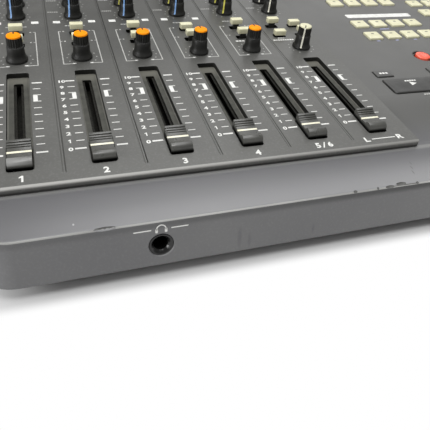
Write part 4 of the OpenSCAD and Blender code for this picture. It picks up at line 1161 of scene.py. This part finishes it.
def large_keys():
    """Play and stop keys with a scooped top, a sign and a row of blocks."""
    for name, (u, v) in (("play_key", BIG[0]), ("stop_key", BIG[1])):
        cap = key(BIG_W, BIG_D, 1.8, 0.8, 0, 1.2, 0.3)
        cap.transform(at(DECK, u, v))
        sign_spot = at(DECK, u - 1.5, v + 1.5, 0.03)
        if name == "play_key":
            sign = prism([(-1.9, -2.2), (2.6, 0), (-1.9, 2.2)], 0.5, sign_spot)
        else:
            sign = block(3.6, 3.8, 0.1, 0, 0.5, sign_spot)
        parts = [(cap, GREY_ABS), (sign, WHITE_INK)]
        row = ink_row(u - 1.4, v + 4.7, 8.6, 1.2, 5, at(DECK, 0, 0, 0.5))
        parts += [(bm, WHITE_INK) for bm in row]
        piece(name + "_cap", name, parts, [name])


def dark_keys():
    """Small dark keys, each with three pale marks, and the round red record button."""
    parts = []
    for u, v in SMALL:
        cap = key(SMALL_W, SMALL_D, 0.5, 0.8, 1.2, 1.2)
        cap.transform(at(DECK, u, v))
        parts.append((cap, GREY_ABS))
        for aside in (-2.2, 0, 2.2):
            mark = block(1.6, 1.6, 0.2, 0.78, 0.8 + INK, at(DECK, u + aside, v))
            parts.append((mark, WHITE_INK))
    piece("search_keys_caps", "search_keys", parts, ["search_keys"])
    section = [(0, -7), (2, -7), (2, -4.2), (6.6, -4.2), (6.6, -3), (RECORD_R, -3)]
    section += [(RECORD_R, 0.2), (4.9, 0.55), (4.6, 0.75), (2.5, 0.84), (0, 0.86)]
    parts = [(lathe(section, at(DECK, *RECORD)), RED_PC)]
    piece("record_button_cap", "record_button", parts, ["record_button"])


# Jog dial: a fluted wheel with a raised rim, a sunken face and a finger dimple.
def jog_dial():
    section = [(0, -12), (4, -12), (4, -5.8), (JOG_R, -5.8)]
    section += [(JOG_R, 3.6), (JOG_R - 0.4, 4.5), (JOG_R - 1.4, 5), (JOG_R - 6.6, 5)]
    section += [(JOG_R - 7.2, 4.8), (JOG_R - 7.8, 4.3), (JOG_R - 8.4, 4.2), (0, 4.2)]
    dial = lathe(section, None, 144)
    flute(dial, 48, 0.35, 0, lambda r, z: r > JOG_R - 0.6 and z > -5)
    dimple = bmesh.new()
    bmesh.ops.create_uvsphere(dimple, u_segments=48, v_segments=24, radius=11)
    bmesh.ops.translate(dimple, vec=(0, JOG_R - 15, 13), verts=dimple.verts)
    dial = combined(dial, "DIFFERENCE", [dimple])
    dial.transform(at(DECK, *JOG))
    piece("jog_dial_wheel", "jog_dial", [(dial, DIAL_ABS)], ["jog_dial"])


# Headphone jack: nylon bush with a chamfered mouth in the front face.
def headphone_jack():
    spot = at(FRONT, JACK_X, JACK_Z)
    bush = [(3.2, -26), (3.2, -1.6), (3.5, -1.3), (4.3, -0.35), (4.55, -0.2)]
    bush += [(4.9, -0.2), (5.15, -0.35), (5.25, -0.7), (5.25, -6.4)]
    bush += [(8, -6.4), (8, -28), (3.2, -28), (3.2, -26)]
    end = rod(3.25, -26.4, -26.0, spot, 32)
    parts = [(lathe(bush, spot, 64), SOCKET_BLACK), (end, SOCKET_BLACK)]
    piece("headphone_jack_bush", "case", parts, ["headphone_jack"])


# Rear sockets: line jacks with hex nuts, phono sockets in white and red pairs, two round sockets.
SOCKETS = [168.0 - 24.0 * i for i in range(8)]
JACK_ROW, PHONO_ROW, REAR_MID, REAR_T = 38.0, 66.0, 52.0, 1.5
ROUND_SOCKETS = (-44.0, -74.0)
POWER_X, ROCKER_X, INLET_X = -152.0, -120.0, -160.0
REAR_OPENING, POWER_PLATE = (392.0, 56.0), (96.0, 64.0)
INLET_W, INLET_H, ROCKER_W, ROCKER_H, REAR_FIT = 26.0, 14.0, 17.0, 22.0, 0.4
REAR_SCREWS = [(x, z) for x in (-190.0, 190.0) for z in (29.0, 75.0)]
# Flanges behind the rear panel stop just short of it.
BEHIND = -REAR_T - 0.05


def rear_sockets():
    bush = [(0, -23.5), (3.2, -23.5), (3.2, 1.8), (3.6, 2.2), (4.3, 2.2), (4.6, 1.9), (4.6, BEHIND)]
    bush += [(6.9, BEHIND), (6.9, -28.5), (0, -28.5)]
    nut = [(5.3, 0.02), (6.4, 0.02), (6.6, 0.25), (6.6, 1.4), (6.2, 1.7), (5.3, 1.7), (5.3, 0.02)]
    barrel = [(3.2, -4), (3.2, 2.0), (3.5, 2.3), (4.0, 2.3), (4.2, 2.05), (4.2, -4), (3.2, -4)]
    core = [(0, -7.5), (1.7, -7.5), (1.7, 1.3), (1.9, 1.5), (3.0, 1.5), (3.25, 1.3), (3.25, BEHIND)]
    core += [(6, BEHIND), (6, -11.5), (0, -11.5)]
    shield = [(6.6, -0.9), (6.6, 0.4), (6.8, 0.6), (7.8, 0.6), (8.0, 0.4), (8.0, -0.9), (6.6, -0.9)]
    insert = [(0, -13.5), (10, -13.5), (10, BEHIND), (6.55, BEHIND)]
    insert += [(6.55, -0.75), (6.4, -0.6), (0, -0.6)]
    parts = []
    for i, x in enumerate(SOCKETS):
        jack, phono = at(REAR, x, JACK_ROW), at(REAR, x, PHONO_ROW)
        parts += [(lathe(bush, jack, 32), SOCKET_BLACK), (lathe(nut, jack, 6), NICKEL)]
        parts.append((lathe(barrel, phono, 32), NICKEL))
        parts.append((lathe(core, phono, 32), (WHITE_ABS, RED_ABS)[i % 2]))
    for x in ROUND_SOCKETS:
        spot = at(REAR, x, REAR_MID)
        holes = [rod(0.9, -8, 0.5, at(spot, *p), 16) for p in arc((0, 0), 5, 0, 180, 4)]
        holes.append(block(2, 1.4, 0.2, -1.8, 1, spot, (0, -6.2)))
        parts.append((lathe(shield, spot), NICKEL))
        parts.append((combined(lathe(insert, spot), "DIFFERENCE", holes), SOCKET_BLACK))
    piece("rear_socket_rows", "case", parts, ["rear_sockets"])


# Power plate with the mains inlet and the rocker's housing, and the transformer behind it.
def rear_housing(w, d, r, lap, deep, hole, spot):
    """Moulded housing with a flange behind the plate and a cavity with a soft rim."""
    rings = [(w + lap, d + lap, 1, -deep), (w + lap, d + lap, 1, BEHIND)]
    rings += [(w, d, r, -REAR_T), (w, d, r, 0.7), (w - 0.6, d - 0.6, r, 1.0)]
    cavity = stack(flared(*hole, 0.3, deep - 2.5), at(spot, 0, 0, 1.0))
    return combined(stack(rings, spot), "DIFFERENCE", [cavity])


def power_unit():
    inlet, rocker = at(REAR, INLET_X, REAR_MID), at(REAR, ROCKER_X, REAR_MID)
    holes = [block(INLET_W + REAR_FIT, INLET_H + REAR_FIT, 3, -5, 5, inlet)]
    holes.append(block(ROCKER_W + REAR_FIT, ROCKER_H + REAR_FIT, 1, -5, 5, rocker))
    holes += [rod(1.55, -5, 5, at(REAR, *spot)) for spot in REAR_SCREWS[:2]]
    plate = block(*POWER_PLATE, 0, -REAR_T, 0, at(REAR, POWER_X, REAR_MID))
    parts = [(combined(plate, "DIFFERENCE", holes), STEEL_PAINT)]
    housings = [rear_housing(INLET_W, INLET_H, 3, 6, 19.5, (20, 9, 4.2), inlet)]
    housings.append(rear_housing(ROCKER_W, ROCKER_H, 1, 4, 21.5, (12.6, 18.6, 0.6), rocker))
    parts += [(housing, SOCKET_BLACK) for housing in housings]
    pin = [(0, -17.2), (1.2, -17.2), (1.2, -3.4), (0.8, -3.05), (0, -3)]
    parts += [(lathe(pin, at(inlet, side * 4.3, 0), 24), NICKEL) for side in (-1, 1)]
    # The transformer: base, core and the two ends of its bobbin.
    core = Matrix.Translation((156, 96, FOOT_H + 2))
    parts.append((block(64, 52, 2, 0, 3, core), SOCKET_BLACK))
    parts.append((soften(block(48, 40, 0, 3, 39, core), 0.8, 2), SLIDE_STEEL))
    for side in (-1, 1):
        bobbin = block(7, 26, 1, 6, 34, core, (side * 27.5, 0))
        parts.append((soften(bobbin, 0.8, 2), SOCKET_BLACK))
    piece("power_unit_plate", "case", parts, ["power_unit"])


# Rocker of the mains switch, with an upright stroke and a ring printed on its curved face.
def power_switch():
    spot = at(REAR, ROCKER_X, REAR_MID, -6.6) @ Matrix.Rotation(math.radians(-8), 4, "X")
    half, face_r = 6.5, 9
    edge = math.degrees(math.acos(half / face_r))
    outline = [(-half, -4), (half, -4)] + arc((0, 0), face_r, edge, 180 - edge, 16)
    rocker = soften(prism(outline, 11, Matrix.Translation((-5.5, 0, 0)) @ ACROSS), 0.4, 3)
    rocker.transform(spot)
    pin = rod(1.5, -7.5, 7.5, spot @ SIDEWAYS)
    upper, lower = [spot @ Matrix.Rotation(math.radians(a), 4, "X") for a in (-24, 24)]
    stroke = block(0.6, 2.4, 0.1, 8.9, 9.04, upper)
    circle = lathe([(0.75, 8.9), (1.25, 8.9), (1.25, 9.04), (0.75, 9.04), (0.75, 8.9)], lower, 32)
    parts = [(rocker, SOCKET_BLACK), (pin, SOCKET_BLACK), (stroke, WHITE_INK), (circle, WHITE_INK)]
    piece("power_switch_rocker", "power_switch", parts, ["power_switch"])


# Pan-head screws with a cross recess, under the case and on the rear panel.
SIDE_BOSS, END_BOSS = BODY_W / 2 - 5.7, BODY_D / 2 - 5.7
COVER_SCREWS = [(side * SIDE_BOSS, y) for y in (-90.0, 70.0) for side in (-1, 1)]
COVER_SCREWS += [(-90.0, -END_BOSS), (40.0, -END_BOSS), (-110.0, END_BOSS), (110.0, END_BOSS)]
# Each screw stopped at its own angle, in radians.
SCREW_TURN = 0.7


def case_screws():
    section = [(0, -6), (1.15, -6), (1.15, 0.02), (2.75, 0.02), (2.8, 0.4)]
    section += [(2.55, 1.0), (1.9, 1.4), (0.9, 1.57), (0, 1.6)]
    screw = lathe(section, None, 32)
    for w, d in ((3.2, 0.7), (0.7, 3.2)):
        screw = combined(screw, "DIFFERENCE", [block(w, d, 0.1, 0.7, 2)])
    under = Matrix.Rotation(math.pi, 4, "X")
    spots = [Matrix.Translation((x, y, FOOT_H)) @ under for x, y in COVER_SCREWS]
    spots += [at(REAR, x, z) for x, z in REAR_SCREWS]
    parts = []
    for i, spot in enumerate(spots):
        body = screw.copy()
        body.transform(spot @ Matrix.Rotation(SCREW_TURN * i, 4, "Z"))
        parts.append((body, ZINC))
    screw.free()
    piece("case_screw_set", "case", parts, ["case_screws"])


# Rubber feet with a soft rim, a groove and a hollow for their screw.
FEET = [(a * (BODY_W / 2 - 40), b * (BODY_D / 2 - 33)) for a in (-1, 1) for b in (-1, 1)]


def rubber_feet():
    foot = [(0, 2), (3.7, 2), (4, 1.7), (4, 0.35), (4.3, 0), (8.5, 0), (9.3, 0.25), (9.8, 0.9)]
    foot += [(10, 1.8), (10, 3.4), (9.6, 3.7), (9.6, 4.3), (10, 4.6), (10, FOOT_H), (0, FOOT_H)]
    stud = [(0, 0.9), (1.2, 0.95), (2.3, 1.3), (2.6, 2.02), (0, 2.02)]
    parts = []
    for x, y in FEET:
        spot = Matrix.Translation((x, y, 0))
        parts += [(lathe(foot, spot, 48), RUBBER), (lathe(stud, spot, 24), ZINC)]
    piece("rubber_feet_set", "case", parts, ["rubber_feet"])


# Flap behind the disc slot, with a finger rib and a pin at each end.
def disc_door():
    spot = Matrix.Translation((DISC_X, FRONT_Y + WALL + 1, DISC_Z + 5.4)) @ UPRIGHT
    low, rib_low = (0, -5), (0, -5.4)
    rings = [(FLAP_W, FLAP_H, 0.6, -0.6, low), (FLAP_W, FLAP_H, 0.6, 0.35, low)]
    rings.append((FLAP_W - 0.5, FLAP_H - 0.5, 0.5, 0.6, low))
    flap = stack(rings, spot)
    rib = stack([(40, 0.9, 0.4, 0.55, rib_low), (39.6, 0.6, 0.3, 0.8, rib_low)], spot)
    section = [(0, -41), (0.7, -41), (0.9, -40.8), (0.9, 40.8), (0.7, 41), (0, 41)]
    pin = lathe(section, spot @ SIDEWAYS, 24)
    parts = [(flap, DIAL_ABS), (rib, DIAL_ABS), (pin, DIAL_ABS)]
    piece("disc_door_flap", "disc_door", parts, ["disc_door"])


# Print on the mixer panel: fader scales, strip numbers, switch boxes, dots round the knobs.
STRIP_FIGURES = [
    [("1", 4.0, 0.3)],
    [("2", 3.9, -0.2)],
    [("3", 3.9, -0.2)],
    [("4", 3.9, 0.3)],
    [("5", 3.9, -2.9), ("6", 3.9, 3.9)],
]
STRIP_V = -16.8
# Switch boxes: half width, lower and upper edge, half line width, rule between the switches.
BOX_U, BOX_V0, BOX_V1, BOX_LINE, BOX_MID = 10.9, 78.7, 121.0, 0.28, 107.0


def fader_scale(u):
    """Marks from 0 to 10 on both sides of a trough, their numbers, and a block from 7 to 8."""
    parts = []
    step = TRAVEL / 10
    for i in range(11):
        v = i * step
        bold = i in (0, 10)
        half = 0.5 if bold else 0.26
        inner, outer = (6.85, 12.0) if bold else (7.2, 10.95)
        for side in (-1, 1):
            parts.append(ink_box(u + side * inner, v - half, u + side * outer, v + half, PANEL))
        number_u = 13.9 if i < 10 else 13.4
        parts.append(figure(str(i), 2.6, at(PANEL, u - number_u, v - 0.2)))
    for side in (-1, 1):
        parts.append(ink_box(u + side * 7.15, 7 * step, u + side * 9.3, 8 * step, PANEL))
    return parts


def strip_sign(k, u):
    """The strip's number, or L and R at the ends of a rule on the master strip."""
    if k == STRIPS - 1:
        letters = (("L", -10.0), ("R", 10.0))
        parts = [glyphs(letter, 3.6, at(PANEL, u + aside, -16.6)) for letter, aside in letters]
        return parts + [ink_box(u - 7.0, -16.9, u + 7.0, -16.3, PANEL)]
    parts = [
        figure(text, height, at(PANEL, u + aside, STRIP_V), 1.05)
        for text, height, aside in STRIP_FIGURES[k]
    ]
    if len(parts) == 2:
        slash = [(-1.4, -2.1), (-0.65, -2.1), (1.4, 2.1), (0.65, 2.1)]
        parts.append(ink_shape(slash, at(PANEL, u + 0.5, STRIP_V)))
    return parts


def switch_box(u):
    """Thin lines round a strip's switches, with a dot at each end of a rule."""
    parts = []
    for side in (-1, 1):
        near, edge, far = [u + side * (BOX_U + grow) for grow in (-BOX_LINE, 0, BOX_LINE)]
        parts.append(ink_box(near, BOX_V0, far, BOX_V1, PANEL))
        parts.append(ink_box(u + side * 5.4, BOX_V0 - BOX_LINE, far, BOX_V0 + BOX_LINE, PANEL))
        for v in (BOX_MID, BOX_V1 - BOX_LINE):
            parts.append(ink_box(u + side * 9.5, v - BOX_LINE, edge, v + BOX_LINE, PANEL))
            parts.append(ink_dot(u + side * 8.0, v, 0.6, PANEL))
    return parts + ink_row(u, 128.7, 12.8, 1.0, 7, PANEL)


def mixer_print():
    white, thin, grey = [], [], []
    for k in range(STRIPS):
        u = k * PITCH
        white += fader_scale(u) + strip_sign(k, u)
        for v in ROWS if k < 4 else ROWS[:2]:
            grey += ink_row(u - 12.6, v + 7, 6.8, 1.2, 5, PANEL)
        if k == STRIPS - 1:
            continue
        thin += switch_box(u)
        for side in (-1, 1):
            white.append(ink_box(u + side * 3.9, BOX_V0 - 0.3, u + side * 5.8, BOX_V0 + 0.8, PANEL))
            if k < 4:
                white.append(ink_box(u + side * 8.9, 132.9, u + side * 13.4, 136.2, PANEL))
    # Rows of blocks in front of the last channel's and the master strip's switches.
    white += ink_row(139.4, 98.0, 6.6, 1.5, 3, PANEL)
    white += ink_row(170.6, 97.0, 15.4, 1.4, 9, PANEL)
    white += ink_row(170.0, 99.8, 5.2, 1.0, 3, PANEL)
    for spot in KNOB_SPOTS:
        grey += [ink_dot(u, v, 0.42, PANEL) for u, v in arc(spot, 8.4, -60, 240, 10)]
    inks = [(bm, WHITE_INK) for bm in white]
    inks += [(bm, THIN_INK) for bm in thin]
    inks += [(bm, GREY_INK) for bm in grey]
    piece("mixer_scale_print", "case", inks, ())


def deck_print():
    """A white bar, blue marks over the keys, dots round the dial, blocks before the large keys."""
    parts = [(block(58.6, 6.0, 1.2, -SUNK, INK, DECK, (70.6, 132.3)), WHITE_INK)]
    for u, _ in LOCATE[:4]:
        parts.append((ink_box(u - 1.2, 90.0, u + 1.6, 91.1, DECK), BLUE_INK))
    parts.append((ink_box(57.5, 108.3, 65.5, 109.5, DECK), BLUE_INK))
    for u, v in arc(JOG, JOG_R + 5, 30, 150, 12):
        parts.append((ink_dot(u, v, 0.5, DECK), WHITE_INK))
    for u, v in BIG:
        parts += [(bm, GREY_INK) for bm in ink_row(u + 3, v - 10.8, 9.4, 1.3, 6, DECK)]
    piece("deck_print", "case", parts, ())


def display_print():
    """Bars of eight level meters with their numbers, and a time, on the display."""
    glass = at(DECK, *WINDOW, -WALL)
    parts = []
    for i in range(8):
        u = -64 + 9.5 * i
        for j in range(9):
            parts.append(ink_box(u - 3, -8 + 2.4 * j, u + 3, -6.6 + 2.4 * j, glass))
        parts.append(glyphs(str(i + 1), 4, at(glass, u, -12.6)))
    parts.append(glyphs("00:00", 9, at(glass, 41, 5), 1.1, 0.01))
    parts.append(ink_box(18, -5.4, 64, -4.8, glass))
    parts += [ink_box(18 + 6 * i, -13, 22 + 6 * i, -8.5, glass) for i in range(8)]
    piece("display_segments", "case", [(bm, LCD_INK) for bm in parts], ())


def rear_print():
    """Plain numbers and rules between the rear socket rows."""
    parts = [figure(str(i + 1), 4, at(REAR, x, REAR_MID)) for i, x in enumerate(SOCKETS)]
    left, right = SOCKETS[0] + 9, SOCKETS[-1] - 9
    for v in (REAR_MID - 5, REAR_MID + 5):
        parts.append(ink_box(left, v, right, v + 0.4, REAR))
    piece("rear_number_print", "case", [(bm, WHITE_INK) for bm in parts], ())


def headphone_sign():
    """Headphone picture between two rules, over the jack."""
    spot = at(FRONT, JACK_X, 24.2)
    inner, outer, lean, sweep = 1.7, 2.2, math.radians(-10), math.radians(200)
    bow = bmesh.new()
    section = [(inner, -SUNK), (outer, -SUNK), (outer, INK), (inner, INK)]
    corners = [bow.verts.new((r, 0, z)) for r, z in section]
    face = bow.faces.new(corners)
    bmesh.ops.rotate(bow, cent=(0, 0, 0), matrix=Matrix.Rotation(lean, 3, "Z"), verts=corners)
    bmesh.ops.spin(bow, geom=[face], cent=(0, 0, 0), axis=(0, 0, 1), angle=sweep, steps=24)
    bmesh.ops.recalc_face_normals(bow, faces=bow.faces)
    bow.transform(spot)
    parts = [bow]
    for side in (-1, 1):
        parts.append(block(1.1, 1.9, 0.3, -SUNK, INK, spot, (side * 2.0, -0.7)))
        parts.append(ink_box(side * 4.2, -0.25, side * 11.5, 0.25, spot))
    piece("headphone_sign_print", "case", [(bm, WHITE_INK) for bm in parts], ())


upper_case()
mixer_panel()
faders()
knobs()
switches()
small_keys()
large_keys()
dark_keys()
jog_dial()
headphone_jack()
rear_sockets()
power_unit()
power_switch()
case_screws()
rubber_feet()
disc_door()
mixer_print()
deck_print()
display_print()
rear_print()
headphone_sign()

# Solids whose shape is right keep it and get their finish.
for node, mat in {
    "bottom_cover": COVER_PAINT,
    "rear_panel": STEEL_PAINT,
    "circuit_boards": BOARD,
    "fader_units": SLIDE_STEEL,
    "rotary_pots": ZINC,
    "display_window": SMOKE,
    "lcd_module": LCD,
    "disc_drive": ZINC,
    "disc_spindle": NICKEL,
    "pickup_sled": DIAL_ABS,
}.items():
    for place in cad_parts[node].material_slots:
        place.material = mat

# Where the floor's shadow starts to fade at the object's ends, how slowly it fades there, and
# how far it reaches in front and behind.
SHADOW_END, END_SHARE, SHADOW_REACH = 33.0, 0.12, 8.5


# White paper: pure white away from the object, where it is seen, and shadowed near it.
def paper_finish():
    mat, shader = finish_of("white_paper_floor", "#f6f6f6", 0.9, Specular_IOR_Level=0.0)
    coords = place_of(mat)
    drift(mat, shader, coords, "#c4c4c4", "#c9c9c9", 300.0)
    half = ((BODY_W / 2 - SHADOW_END) * MM, BODY_D / 2 * MM, 0)
    away = add(mat, "VectorMath", {0: coords}, operation="ABSOLUTE")
    away = add(mat, "VectorMath", {0: away.outputs[0], 1: half}, operation="SUBTRACT")
    away = add(mat, "VectorMath", {0: away.outputs[0], 1: (0, 0, 0)}, operation="MAXIMUM")
    away = add(mat, "VectorMath", {0: away.outputs[0], 1: (END_SHARE, 1, 1)}, operation="MULTIPLY")
    away = add(mat, "VectorMath", {0: away.outputs[0]}, operation="LENGTH")
    reach = {"Value": away.outputs["Value"], "From Min": 0.0, "From Max": SHADOW_REACH * MM}
    away = add(mat, "MapRange", reach, interpolation_type="SMOOTHSTEP")
    rays = add(mat, "LightPath").outputs
    seen = rays["Is Camera Ray"]
    for other in (rays["Is Glossy Ray"], rays["Is Transmission Ray"]):
        seen = add(mat, "Math", {0: seen, 1: other}, operation="MAXIMUM").outputs[0]
    seen = add(mat, "Math", {0: seen, 1: away.outputs[0]}, operation="MULTIPLY")
    white = add(mat, "Emission", {"Color": (1, 1, 1, 1), "Strength": 1.0})
    mixed = {0: seen.outputs[0], 1: shader.outputs[0], 2: white.outputs[0]}
    paper = add(mat, "MixShader", mixed)
    output = mat.node_tree.nodes["Material Output"]
    mat.node_tree.links.new(paper.outputs[0], output.inputs["Surface"])
    return mat


# Pale floor, an overhead softbox and three weaker ones, and even light all round.
floor_bm = bmesh.new()
bmesh.ops.create_grid(floor_bm, x_segments=1, y_segments=1, size=6.0)
floor_mesh = bpy.data.meshes.new("floor")
floor_bm.to_mesh(floor_mesh)
floor_bm.free()
floor_mesh.materials.append(paper_finish())
floor = bpy.data.objects.new("floor", floor_mesh)
bpy.context.scene.collection.objects.link(floor)

world = bpy.data.worlds.new("studio")
bpy.context.scene.world = world
world.use_nodes = True
sky = world.node_tree.nodes["Background"]
sky.inputs["Color"].default_value = (1, 1, 1, 1)
sky.inputs["Strength"].default_value = 0.35


def softbox(name, spot, aim, size, power):
    """Rectangular light, with its place and size in metres, aimed at a spot."""
    light = bpy.data.lights.new(name, "AREA")
    light.shape, light.size, light.size_y, light.energy = "RECTANGLE", size[0], size[1], power
    obj = bpy.data.objects.new(name, light)
    bpy.context.scene.collection.objects.link(obj)
    obj.location = spot
    obj.rotation_euler = (Vector(aim) - Vector(spot)).to_track_quat("-Z", "Y").to_euler()


softbox("overhead_softbox", (0.1, -0.1, 1.3), (0, -0.1, 0), (1.5, 0.7), 13)
softbox("rear_softbox", (0.9, 1.2, 1.2), (0.1, 0, 0), (1.4, 1.0), 3)
softbox("front_softbox", (-0.36, -0.62, 1.28), (-0.3, -0.3, 0), (0.38, 0.45), 5)
softbox("left_softbox", (-1.6, -0.5, 0.35), (0, -0.05, 0.05), (0.9, 0.6), 14)

bpy.context.scene.view_settings.view_transform = "Standard"
